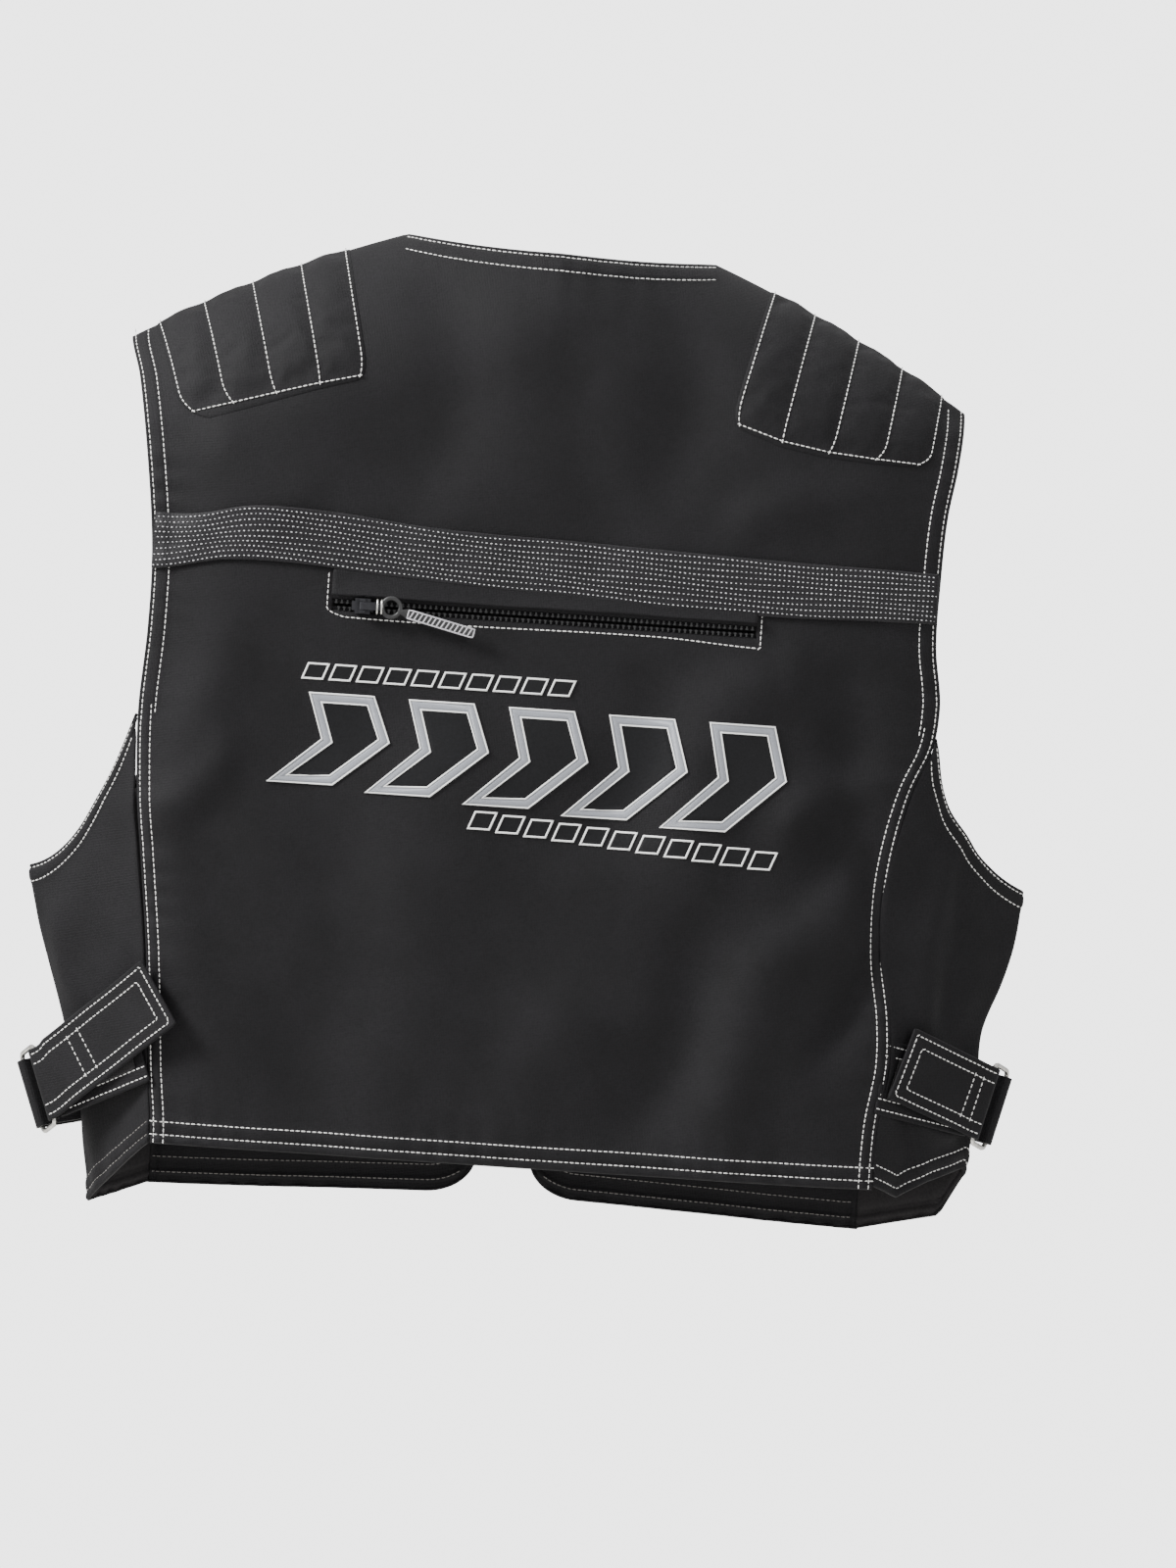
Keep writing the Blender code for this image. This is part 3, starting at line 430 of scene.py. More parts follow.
# Broad soft folds: from, to, half width, height; heights below zero are hollows
backFolds = [
    ((118, -200), (86, -330), 26, 3.4),
    ((160, -215), (140, -330), 15, -2.8),
    ((70, -215), (30, -300), 22, -2.2),
    ((-20, -250), (-50, -440), 38, 2.6),
    ((-120, -230), (-96, -440), 30, -2.6),
    ((-160, -220), (-150, -420), 18, 2.2),
    ((150, -330), (112, -450), 20, 3.6),
    ((178, -300), (160, -400), 10, -3.2),
    ((95, -350), (60, -450), 20, -2.8),
    ((40, -380), (10, -460), 24, 2.0),
    ((0, -20), (-8, -130), 30, 1.6),
    ((62, -18), (56, -130), 20, -1.8),
    ((-66, -20), (-58, -130), 20, -1.4),
    ((-170, -110), (-120, -140), 14, 1.4),
    ((165, -112), (95, -140), 14, 1.8),
    ((30, -60), (60, -140), 16, 1.2),
    ((-190, -300), (-150, -262), 12, 2.0),
    ((180, -262), (130, -290), 12, 2.4),
]
frontFolds = [
    ((110, -140), (100, -380), 26, 3.0),
    ((60, -160), (70, -420), 22, -2.4),
    ((150, -200), (140, -460), 20, -2.4),
    ((40, -300), (36, -470), 18, 2.0),
    ((165, -110), (110, -200), 14, 2.0),
]


def foldHeight(folds, x, z, mirror=1.0):
    height = np.zeros_like(x, dtype=float)
    for start, end, width, rise in folds:
        ax, az = start[0] * mirror, start[1]
        dx, dz = (end[0] - start[0]) * mirror, end[1] - start[1]
        length = math.hypot(dx, dz)
        along = ((x - ax) * dx + (z - az) * dz) / length**2
        # a fold bends a little, so it doesn't read as a ruled line
        bend = 0.12 * length * np.sin(math.pi * np.clip(along, 0, 1)) * (1 if rise > 0 else -1)
        across = ((x - ax) * dz - (z - az) * dx) / length - bend
        ends = np.clip((along + 0.25) / 0.45, 0, 1) * np.clip((1.25 - along) / 0.45, 0, 1)
        height += rise * np.exp(-((across / width) ** 2)) * smooth(ends)
    return height


def ripple(x, z):
    # Small uneven waves that thin cloth always has.
    return (
        0.55 * np.sin(x / 17.0 + 1.3 * np.sin(z / 43.0)) * np.sin(z / 61.0 + 0.6)
        + 0.35 * np.sin(x / 9.0 + z / 31.0 + 1.7 * np.sin(z / 57.0))
        + 0.25 * np.sin(z / 11.0 - x / 37.0 + 1.1 * np.sin(x / 29.0))
    )


def welt(distance, along, lines, puff=0.9, seed=0.0):
    # Height beside a sewn edge: puffed between its stitch lines, drawn down at each.
    last = lines[-1]
    body = puff * smooth(distance / 0.9) * (1 - smooth((distance - last) / 2.2))
    pull = np.zeros_like(body)
    for line in lines:
        pull -= 0.75 * np.exp(-(((distance - line) / 1.0) ** 2))
    # the cloth gathers a little along the seam
    gather = 0.55 * np.sin(along / 2.1 + 1.3 * np.sin(along / 9.7 + seed) + seed)
    gather *= 0.6 + 0.4 * np.sin(along / 23.0 + seed)
    gather *= np.exp(-((distance / (last + 9.0)) ** 2)) * smooth(distance / 2.0)
    return body + pull + gather


def edgeSpread(length, fine, count):
    # Places from 0 to length, close together near both ends.
    near = [p for p in fine if p < length / 2]
    middle = np.linspace(near[-1], length - near[-1], count + 2)[1:-1]
    return np.array(near + list(middle) + [length - p for p in reversed(near)])


nearEdge = [0, 0.5, 1.0, 1.6, 2.2, 2.9, 3.6, 4.4, 5.2, 6.0, 6.9, 7.8, 8.7, 9.6, 10.6, 11.8, 13.4]


# making meshes


def meshObject(name, points, faces, finish, smoothShade=True):
    # A mesh from points in millimetres.
    mesh = bpy.data.meshes.new(name)
    mesh.from_pydata([tuple(p) for p in np.asarray(points) * mm], [], faces)
    mesh.update()
    if smoothShade:
        mesh.shade_smooth()
    mesh.materials.append(finish)
    made = bpy.data.objects.new(name, mesh)
    bpy.context.scene.collection.objects.link(made)
    return made


def gridNormals(points, outward):
    # Unit normals of a grid of points, turned to the side that outward names.
    du = np.gradient(points, axis=0)
    dv = np.gradient(points, axis=1)
    normal = np.cross(du, dv)
    length = np.linalg.norm(normal, axis=-1, keepdims=True)
    normal /= np.maximum(length, 1e-9)
    flip = np.where((normal * outward).sum(-1, keepdims=True) < 0, -1.0, 1.0)
    return normal * flip


def facing(points, y):
    # The same outward direction for every point: -1 towards the back, 1 towards the fronts.
    out = np.zeros_like(points)
    out[..., 1] = y
    return out


def shell(name, points, thickness, outward, finish, hole=None, inner=None, roundEdge=True):
    # A closed sheet of cloth from a grid: the outer skin, the inner one and the rim.
    rows, columns = points.shape[:2]
    normals = gridNormals(points, outward)
    count = rows * columns
    index = np.arange(count).reshape(rows, columns)
    flat = points.reshape(-1, 3)
    below = (points - normals * thickness).reshape(-1, 3)
    du = np.gradient(points, axis=0)[rows // 2, columns // 2]
    dv = np.gradient(points, axis=1)[rows // 2, columns // 2]
    sameWay = np.dot(np.cross(du, dv), normals[rows // 2, columns // 2]) > 0
    quads = []
    for i in range(rows - 1):
        for j in range(columns - 1):
            if hole is not None and hole[i, j]:
                continue
            quad = (index[i, j], index[i + 1, j], index[i + 1, j + 1], index[i, j + 1])
            quads.append(quad if sameWay else quad[::-1])
    rim = {}
    for quad in quads:
        for a, b in zip(quad, quad[1:] + quad[:1]):
            if (b, a) in rim:
                del rim[(b, a)]
            else:
                rim[(a, b)] = True
    verts = [flat, below]
    faces = list(quads) + [tuple(k + count for k in quad[::-1]) for quad in quads]
    if roundEdge:
        # the turned edge is round: one more ring half way, pushed outwards
        ringIndex = {}
        ring = []
        centre = {}
        for a, b in rim:
            run = flat[b] - flat[a]
            length = np.linalg.norm(run) or 1.0
            push = np.cross(run / length, normals.reshape(-1, 3)[a])
            for k in (a, b):
                centre.setdefault(k, []).append(push)
        for k, pushes in centre.items():
            push = np.mean(pushes, axis=0)
            ringIndex[k] = 2 * count + len(ring)
            ring.append((flat[k] + below[k]) / 2 + push * thickness * 0.45)
        verts.append(np.array(ring))
        for a, b in rim:
            faces.append((b, a, ringIndex[a], ringIndex[b]))
            faces.append((ringIndex[b], ringIndex[a], a + count, b + count))
    else:
        for a, b in rim:
            faces.append((b, a, a + count, b + count))
    made = meshObject(name, np.concatenate(verts), faces, finish)
    dropLoose(made)
    if inner is not None:
        made.data.materials.append(inner)
        slots = np.zeros(len(made.data.polygons), dtype=np.int32)
        slots[len(quads) : 2 * len(quads)] = 1
        made.data.polygons.foreach_set("material_index", slots)
    return made


def dropLoose(made):
    # Removes points that no face uses.
    work = bmesh.new()
    work.from_mesh(made.data)
    loose = [v for v in work.verts if not v.link_faces]
    bmesh.ops.delete(work, geom=loose, context="VERTS")
    work.to_mesh(made.data)
    work.free()


# stitching


def groupInputs(tree, sockets):
    for name, kind, value in sockets:
        socket = tree.interface.new_socket(name, in_out="INPUT", socket_type=kind)
        if value is not None:
            socket.default_value = value
    tree.interface.new_socket("Geometry", in_out="OUTPUT", socket_type="NodeSocketGeometry")
    return tree.nodes.new("NodeGroupInput")


def repeatAlong(name, lines, tree, values):
    # Runs a node tree along lists of points in millimetres, and keeps a plain mesh.
    points = []
    links = []
    for line in lines:
        start = len(points)
        points.extend(tuple(p) for p in np.asarray(line) * mm)
        links.extend((k, k + 1) for k in range(start, len(points) - 1))
    mesh = bpy.data.meshes.new(name + "_path")
    mesh.from_pydata(points, links, [])
    holder = bpy.data.objects.new(name + "_path", mesh)
    bpy.context.scene.collection.objects.link(holder)
    modifier = holder.modifiers.new("repeat", "NODES")
    modifier.node_group = tree
    for item in tree.interface.items_tree:
        if item.item_type == "SOCKET" and item.in_out == "INPUT" and item.name in values:
            modifier[item.identifier] = values[item.name]
    bpy.context.view_layer.update()
    depsgraph = bpy.context.evaluated_depsgraph_get()
    done = bpy.data.meshes.new_from_object(holder.evaluated_get(depsgraph))
    done.name = name
    holder.modifiers.clear()
    bpy.data.objects.remove(holder)
    made = bpy.data.objects.new(name, done)
    bpy.context.scene.collection.objects.link(made)
    return made


def stitchTree():
    # Short rounded stitches laid end to end along every line of the mesh.
    tree = bpy.data.node_groups.new("sewn line", "GeometryNodeTree")
    given = groupInputs(
        tree,
        [
            ("Geometry", "NodeSocketGeometry", None),
            ("Pitch", "NodeSocketFloat", 0.0028),
            ("Length", "NodeSocketFloat", 0.0024),
            ("Width", "NodeSocketFloat", 0.0007),
            ("Unevenness", "NodeSocketFloat", 0.1),
            ("Thread", "NodeSocketMaterial", None),
        ],
    )
    lines = addNode(tree, "GeometryNodeMeshToCurve", i0=(given, "Geometry"))
    points = addNode(
        tree,
        "GeometryNodeResampleCurve",
        {"mode": "LENGTH"},
        Curve=(lines, 0),
        Length=(given, "Pitch"),
    )
    halfLength = addNode(
        tree, "ShaderNodeMath", {"operation": "MULTIPLY"}, i0=(given, "Length"), i1=0.5
    )
    halfWidth = addNode(
        tree, "ShaderNodeMath", {"operation": "MULTIPLY"}, i0=(given, "Width"), i1=0.5
    )
    bead = addNode(tree, "GeometryNodeMeshUVSphere", Segments=6, Rings=4, Radius=1.0)
    # the bead's poles lie along the line, so it is stretched on Z
    size = addNode(
        tree, "ShaderNodeCombineXYZ", X=(halfWidth, 0), Y=(halfWidth, 0), Z=(halfLength, 0)
    )
    run = addNode(tree, "GeometryNodeInputTangent")
    turn = addNode(tree, "FunctionNodeAlignRotationToVector", {"axis": "Z"}, Vector=(run, 0))
    least = addNode(
        tree, "ShaderNodeMath", {"operation": "SUBTRACT"}, i0=1.0, i1=(given, "Unevenness")
    )
    vary = addNode(
        tree,
        "FunctionNodeRandomValue",
        {"data_type": "FLOAT"},
        i2=(least, 0),
        i3=1.0,
        Seed=7,
    )
    scaled = addNode(
        tree, "ShaderNodeVectorMath", {"operation": "SCALE"}, i0=(size, 0), Scale=(vary, 1)
    )
    laid = addNode(
        tree,
        "GeometryNodeInstanceOnPoints",
        Points=(points, 0),
        Instance=(bead, 0),
        Rotation=(turn, 0),
        Scale=(scaled, 0),
    )
    solid = addNode(tree, "GeometryNodeRealizeInstances", i0=(laid, 0))
    shaded = addNode(tree, "GeometryNodeSetShadeSmooth", i0=(solid, 0))
    finished = addNode(
        tree, "GeometryNodeSetMaterial", Geometry=(shaded, 0), Material=(given, "Thread")
    )
    addNode(tree, "NodeGroupOutput", i0=(finished, 0))
    return tree


sewnLine = stitchTree()


stitchLift = 0.15  # how far a stitch's middle stands off the cloth


def sew(name, lines, threadMaterial, pitch=2.8, length=2.5, width=0.75, unevenness=0.12):
    # Stitches along lists of points in millimetres, as one plain mesh.
    values = {
        "Pitch": pitch * mm,
        "Length": length * mm,
        "Width": width * mm,
        "Unevenness": unevenness,
        "Thread": threadMaterial,
    }
    return repeatAlong(name, lines, sewnLine, values)


def lineThrough(points, gap=2.0):
    # More points along a path, no further apart than gap.
    points = np.asarray(points, float)
    steps = np.linalg.norm(np.diff(points, axis=0), axis=1)
    at = np.concatenate([[0], np.cumsum(steps)])
    places = np.linspace(0, at[-1], max(int(at[-1] / gap), 1) + 1)
    return np.stack([np.interp(places, at, points[:, k]) for k in range(points.shape[1])], -1)


# the back

pocket = {
    "left": -104.0,
    "right": 112.0,
    "zipZ": -188.5,
    "mouthHalf": 3.4,
    "flapTop": -171.0,
    "flapBottom": -183.4,
    "flapThick": 1.2,
}
armholeLines = (2.0, 9.0)
seamLines = (1.8, 6.9)
hemLines = (4.6, 11.2)
neckLines = (2.2, 9.6)


def backFoldsAt(x, z):
    # Folds of the back, calmer at the shoulder line and round the pocket.
    calm = smooth((ridgeZ(x) - z - 6) / 40)
    # flat where the pocket's zip runs
    byMouth = np.exp(-(((z - pocket["zipZ"]) / 18.0) ** 2))
    byMouth *= smooth((x - pocket["left"] + 24) / 16) * smooth((pocket["right"] + 24 - x) / 16)
    height = 1.9 * foldHeight(backFolds, x, z) + ripple(x, z)
    return height * calm * (1 - 0.85 * byMouth)


def backHeight(x, z):
    # Everything that stands out from, or is drawn into, the plain back.
    height = backFoldsAt(x, z)
    for side, sign in sides.items():
        distance = sign * (backEdge(side, z) - x)
        armhole = smooth((z - seamTop[side]) / 6.0)
        seed = 1.7 if side == "left" else 4.1
        height = height + armhole * welt(distance, z, armholeLines, 0.9, seed)
        height = height + (1 - armhole) * welt(distance, z, seamLines, 0.7, seed + 2)
    inNeck = smooth((vest["neckHalf"] + 3 - np.abs(x)) / 6.0)
    height = height + inNeck * welt(neckZ(x) - z, x, neckLines, 1.0, 0.4)
    height = height + welt(z - backHemZ, x, hemLines, 1.0, 2.6)
    return height


def backPoint(x, z, lift=0.0):
    x, z = np.broadcast_arrays(np.asarray(x, float), np.asarray(z, float))
    y = -vest["backDepth"] * depthShare(x, z) - backHeight(x, z) - lift
    return drape(np.stack([x, np.minimum(y, -0.4), z], -1))


def backTopZ(share):
    # Height of the back's top edge at a share of its width, from -1 to 1.
    z = np.full_like(share, -30.0)
    for _ in range(30):
        x = backX(share, z)
        top = np.where(np.abs(x) < vest["neckHalf"], np.minimum(neckZ(x), ridgeZ(x)), ridgeZ(x))
        z = 0.5 * z + 0.5 * (top - 0.3)
    return z


def backX(share, z):
    left, right = backEdge("left", z), backEdge("right", z)
    return left + (right - left) * (share + 1) / 2


backGrid = {"width": 398.0, "columns": 118, "rowsAbove": 62, "rowsBelow": 98}


def makeBack():
    width = backGrid["width"]
    shares = edgeSpread(width, nearEdge, backGrid["columns"]) / width * 2 - 1
    level = np.full_like(shares, pocket["zipZ"])
    xs = backX(shares, level)
    # two columns move a little, to run down the ends of the pocket's mouth
    for end in (pocket["left"], pocket["right"]):
        k = int(np.argmin(np.abs(xs - end)))
        shares[k] += (end - xs[k]) / (xs[-1] - xs[0]) * 2
        xs = backX(shares, level)
    top = backTopZ(shares)
    mouthTop = pocket["zipZ"] + pocket["mouthHalf"]
    mouthLow = pocket["zipZ"] - pocket["mouthHalf"]
    near = np.array(nearEdge)
    rowsZ = [top - d for d in near[:13]]
    start = rowsZ[-1]
    for t in np.linspace(0, 1, backGrid["rowsAbove"])[1:]:
        rowsZ.append(start + (mouthTop - start) * t**1.25)
    for t in (0.33, 0.67, 1.0):
        rowsZ.append(np.full_like(top, mouthTop + (mouthLow - mouthTop) * t))
    firstMouth = len(rowsZ) - 4
    for t in np.linspace(0, 1, backGrid["rowsBelow"])[1:]:
        rowsZ.append(np.full_like(top, mouthLow + (backHemZ + near[-1] - mouthLow) * t))
    for d in near[::-1][1:]:
        rowsZ.append(np.full_like(top, backHemZ + d))
    z = np.stack(rowsZ)
    x = backX(shares[None, :], z)
    points = backPoint(x, z)
    hole = np.zeros((len(rowsZ) - 1, len(shares) - 1), bool)
    middle = (xs[1:] + xs[:-1]) / 2
    inMouth = (middle > pocket["left"]) & (middle < pocket["right"])
    hole[firstMouth : firstMouth + 3, inMouth] = True
    out = facing(points, -1)
    back = shell("back_panel_cloth", points, vest["cloth"], out, nylon, hole, lining)
    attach(back, "vest")
    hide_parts("back_yoke", "back_panel", "neck_facing")
    lines = []
    for side, sign in sides.items():
        for distance in armholeLines:
            zs = np.linspace(-60, seamTop[side] - (2 if distance < 5 else -2), 110)
            lines.append(backPoint(backEdge(side, zs) - sign * distance, zs, stitchLift))
        for distance in seamLines:
            begin = seamTop[side] + (4 if distance > 5 else -2)
            zs = np.linspace(begin, backHemZ + 1.5, 120)
            lines.append(backPoint(backEdge(side, zs) - sign * distance, zs, stitchLift))
    for distance in neckLines:
        reach = vest["neckHalf"] - 1.0
        along = np.linspace(-reach, reach, 90)
        lines.append(backPoint(along, neckZ(along) - distance, stitchLift))
    for distance in hemLines:
        height = backHemZ + distance
        left, right = backEdge("left", height) + 0.5, backEdge("right", height) - 0.5
        along = np.linspace(left, right, 190)
        lines.append(backPoint(along, np.full_like(along, height), stitchLift))
    return lines


backStitches = makeBack()
print("back made")


# the sides

sideFolds = {
    "left": [
        ((-228, -345), (-214, -470), 12, 2.6),
        ((-205, -290), (-200, -420), 8, -2.4),
        ((-240, -350), (-222, -400), 8, 1.8),
    ],
    "right": [
        ((232, -268), (226, -420), 9, 4.2),
        ((216, -276), (212, -400), 8, -3.0),
        ((246, -312), (238, -390), 7, -1.8),
        ((212, -432), (232, -438), 5, 2.6),
        ((206, -428), (204, -466), 5, -2.2),
    ],
}
frontSeamTop = -250.0
foldRound = 0.06
sideBow = {"left": 1.9, "right": 1.6}


def sideTopZ(side, turn):
    top = np.where(turn < 1, seamTop[side], frontSeamTop)
    low = underarm[side]
    return low + (top - low) * np.abs(1 - turn) ** sideBow[side]


def sideHemZ(side, turn):
    if side == "left":
        places, heights = [0, 0.5, 1, 1.5, 2], [-467, -486, -503, -499, -494]
    else:
        # the hem folds up into a shallow V, and the fold's far side hangs lower
        places = [0, 0.26, 0.55, 0.94, 1.05, 1.2, 2]
        heights = [-465, -471, -463, -456, -462, -482, -494]
    return np.interp(turn, places, heights)


def sidePoint(side, turn, z, lift=0.0, plain=False):
    turn, z = np.broadcast_arrays(np.asarray(turn, float), np.asarray(z, float))
    sign = sides[side]
    # it starts just outside the back's edge, and ends just inside the front's
    backSeam = backEdge(side, z) + sign * 0.8
    frontSeam = frontEdge(side, z) - sign * 0.3
    backY = -vest["backDepth"] * depthShare(backSeam, z)
    frontY = vest["frontDepth"] * depthShare(frontSeam, z)
    away = np.abs(1 - turn)
    bent = (np.sqrt(away**2 + foldRound**2) - foldRound) / (math.hypot(1, foldRound) - foldRound)
    startX = np.where(turn < 1, backSeam, frontSeam)
    startY = np.where(turn < 1, backY, frontY)
    foldX = sideEdge(side, z)
    x = foldX + (startX - foldX) * bent
    y = vest["foldDepth"] + (startY - vest["foldDepth"]) * away
    # outwards, at right angles to the half that the point is on
    reachX, reachY = foldX - startX, vest["foldDepth"] - startY
    normalY = np.where(turn < 1, -1, 1) * np.abs(reachX) / np.hypot(reachX, reachY)
    # round the fold the direction turns from the back's to the front's
    normalY = normalY * smooth(away / 0.12)
    normalX = sign * np.sqrt(np.maximum(1 - normalY**2, 0.0))
    if plain:
        height = np.zeros_like(x)
    else:
        onBack = smooth((1 - turn) / 0.3)
        height = backFoldsAt(startX, z) * np.clip(1 - turn, 0, 1) ** 2 * onBack
        height = height + foldHeight(sideFolds[side], x, z) * onBack * smooth(turn / 0.15)
        inside = smooth(turn / 0.1) * smooth((2 - turn) / 0.1)
        height = height + ripple(x * 1.3 + y, z) * 0.7 * inside
        height = height + welt(sideTopZ(side, turn) - z, turn * 60, armholeLines, 0.9, 3.0)
        height = height + welt(z - sideHemZ(side, turn), turn * 60, hemLines, 0.9, 5.0)
    height = height + lift
    return drape(np.stack([x + normalX * height, y + normalY * height, z], -1))


def makeSides():
    lines = {"white": [], "painted_shade": []}
    near = np.array(nearEdge)
    for side in sides:
        turns = np.concatenate(
            [np.linspace(0, 0.86, 24), np.linspace(0.89, 1.11, 13), np.linspace(1.14, 2, 22)]
        )
        top = sideTopZ(side, turns)
        low = sideHemZ(side, turns)
        rows = [top - d for d in near]
        for t in np.linspace(0, 1, 52)[1:-1]:
            rows.append(rows[len(near) - 1] * (1 - t) + (low + near[-1]) * t)
        rows += [low + d for d in near[::-1]]
        z = np.stack(rows)
        turn = np.broadcast_to(turns, z.shape)
        points = sidePoint(side, turn, z)
        flat = sidePoint(side, turn, z, 1.0, True) - sidePoint(side, turn, z, 0.0, True)
        panel = shell(f"side_panel_cloth_{side}", points, vest["cloth"], flat, nylon, None, lining)
        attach(panel, "vest")
        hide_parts(f"side_panel_{side}")
        for distance in armholeLines:
            at = np.linspace(0.03, 1.97, 130)
            lines["white"].append(sidePoint(side, at, sideTopZ(side, at) - distance, stitchLift))
        for distance in hemLines:
            at = np.linspace(0.03, 1.97, 130)
            run = sidePoint(side, at, sideHemZ(side, at) + distance, stitchLift)
            # the left side lies in shade, so its hem gets the thread with painted shade
            kind = "white" if side == "right" else "painted_shade"
            lines[kind].append(run)
    return lines


sideStitches = makeSides()
print("sides made")


# the fronts

frontHemLines = (6.0, 14.0)
frontCorner = 26.0
frontGrid = {"width": 172.0, "columns": 46, "rows": 120}
# where the stitch lines down the fronts begin and end
frontLines = {"armhole": -62.0, "opening": -96.0, "openingEnd": -474.0, "seamEnd": -472.0}


def frontHeight(side, x, z):
    sign = sides[side]
    calm = smooth((ridgeZ(x) - z - 6) / 40)
    calm = calm * smooth((np.abs(x) - vest["frontGap"] + 6) / 24)
    height = (1.6 * foldHeight(frontFolds, x, z, sign) + 0.9 * ripple(x * 1.1 + 40, z + 13)) * calm
    distance = sign * (frontEdge(side, z) - x)
    armhole = smooth((z - frontSeamTop) / 6.0)
    height = height + armhole * welt(distance, z, armholeLines, 0.9, 2.2)
    height = height + (1 - armhole) * welt(distance, z, seamLines, 0.7, 1.1)
    height = height + 0.9 * welt(np.abs(x) - vest["frontGap"], z, seamLines, 0.8, 6.0)
    height = height + welt(z - frontHemZ(x), x, frontHemLines, 0.9, 0.9)
    return height


def frontHemZ(x):
    # The front hems rise in a round corner beside the opening, and fall towards the sides.
    out = np.abs(x) - vest["frontGap"]
    level = -489.5 - 5.0 * smooth(np.abs(x) / 190)
    corner = np.clip(1 - out / frontCorner, 0, 1)
    return level + 20.0 * (1 - np.sqrt(np.maximum(1 - corner**2, 0.0)))


def frontPoint(side, x, z, lift=0.0):
    x, z = np.broadcast_arrays(np.asarray(x, float), np.asarray(z, float))
    y = vest["frontDepth"] * depthShare(x, z) + frontHeight(side, x, z) + lift
    return drape(np.stack([x, np.maximum(y, 0.4), z], -1))


def frontX(side, share, z):
    outer = frontEdge(side, z)
    return outer + (sides[side] * vest["frontGap"] - outer) * share


def frontTopZ(side, share):
    z = np.full_like(share, -60.0)
    for _ in range(30):
        x = frontX(side, share, z)
        inNeck = np.abs(x) < vest["neckHalf"]
        top = np.where(inNeck, np.minimum(frontNeckZ(x), ridgeZ(x)), ridgeZ(x))
        z = 0.5 * z + 0.5 * (top - 0.3)
    return z


def makeFronts():
    lines = {"white": [], "painted_shade": []}
    near = np.array(nearEdge)
    for side, sign in sides.items():
        width = frontGrid["width"]
        shares = edgeSpread(width, nearEdge, frontGrid["columns"]) / width
        top = frontTopZ(side, shares)
        low = frontHemZ(frontX(side, shares, np.full_like(shares, -490.0)))
        rows = [top - d for d in near[:12]]
        for t in np.linspace(0, 1, frontGrid["rows"])[1:-1]:
            rows.append(rows[11] * (1 - t**1.1) + (low + near[-1]) * t**1.1)
        rows += [low + d for d in near[::-1]]
        z = np.stack(rows)
        x = frontX(side, shares[None, :], z)
        points = frontPoint(side, x, z)
        out = facing(points, 1)
        panel = shell(f"front_panel_cloth_{side}", points, vest["cloth"], out, nylon)
        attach(panel, "vest")
        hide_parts(f"front_panel_{side}")
        inside = -vest["cloth"] - stitchLift
        for distance in armholeLines:
            zs = np.linspace(frontLines["armhole"], frontSeamTop, 100)
            xs = frontEdge(side, zs) - sign * distance
            lines["white"].append(frontPoint(side, xs, zs, stitchLift))
        for distance in seamLines:
            zs = np.linspace(frontSeamTop, frontLines["seamEnd"], 120)
            xs = frontEdge(side, zs) - sign * distance
            lines["white"].append(frontPoint(side, xs, zs, stitchLift))
            zs = np.linspace(frontLines["opening"], frontLines["openingEnd"], 160)
            xs = np.full_like(zs, sign * (vest["frontGap"] + distance))
            lines["white"].append(frontPoint(side, xs, zs, stitchLift))
        for distance in frontHemLines:
            along = np.linspace(vest["frontGap"] + 3 + distance, 183, 100) * sign
            height = frontHemZ(along) + distance
            lines["white"].append(frontPoint(side, along, height, stitchLift))
            # inside the fronts the hem stitches lie in shade, and get the thread with painted shade
            lines["painted_shade"].append(frontPoint(side, along, height, inside))
        for distance in neckLines:
            along = np.linspace(vest["frontGap"] + 2, vest["neckHalf"] - 1, 70) * sign
            slope = 1.6 * 99 / vest["neckHalf"] * (np.abs(along) / vest["neckHalf"]) ** 0.6
            height = frontNeckZ(along) - distance * np.sqrt(1 + slope**2)
            lines["white"].append(frontPoint(side, along, height, stitchLift))
    return lines


frontStitches = makeFronts()
print("fronts made")
whiteLines = backStitches + sideStitches["white"] + frontStitches["white"]
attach(sew("topstitching_white", whiteLines, thread), "vest")
# stitches in shade, sewn with the white thread's darker copy that has painted shade
paintedShadeLines = sideStitches["painted_shade"] + frontStitches["painted_shade"]
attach(sew("topstitching_grey", paintedShadeLines, paintedShadeThread, width=0.6), "vest")
print("topstitching sewn")


# reflective band

band = {
    # edges as (distance from the middle, height), from left to right
    "top": [(-199, -149), (-172, -148), (-150, -143.5), (-114, -143), (-53, -147.5), (24, -149),
            (105, -151), (205, -151.5)],
    "bottom": [(-199, -176), (-158, -169.5), (-127, -169), (-76, -172.5), (25, -177), (107, -180),
               (206, -178)],
    "thickness": 0.8,
    "lift": 1.9,
    "rows": 10,
    "dotPitch": 2.4,
}


def bandEdge(name, x):
    return follow([(-a, b) for a, b in band[name]], -np.asarray(x, float))


def bandPoint(x, share, lift=0.0):
    # A point of the ribbon; share runs from 0 at its lower edge to 1 at its upper one.
    low, high = bandEdge("bottom", x), bandEdge("top", x)
    z = low + (high - low) * share
    # the ribbon ruckles on its own, and its edges lie close
    ruckle = 0.5 * np.sin(x / 7.3 + 2.0 * np.sin(x / 31.0)) * np.sin(math.pi * share)
    ruckle = ruckle + 0.5 * np.sin(math.pi * share) ** 0.5
    return backPoint(x, z, band["lift"] + ruckle + lift)


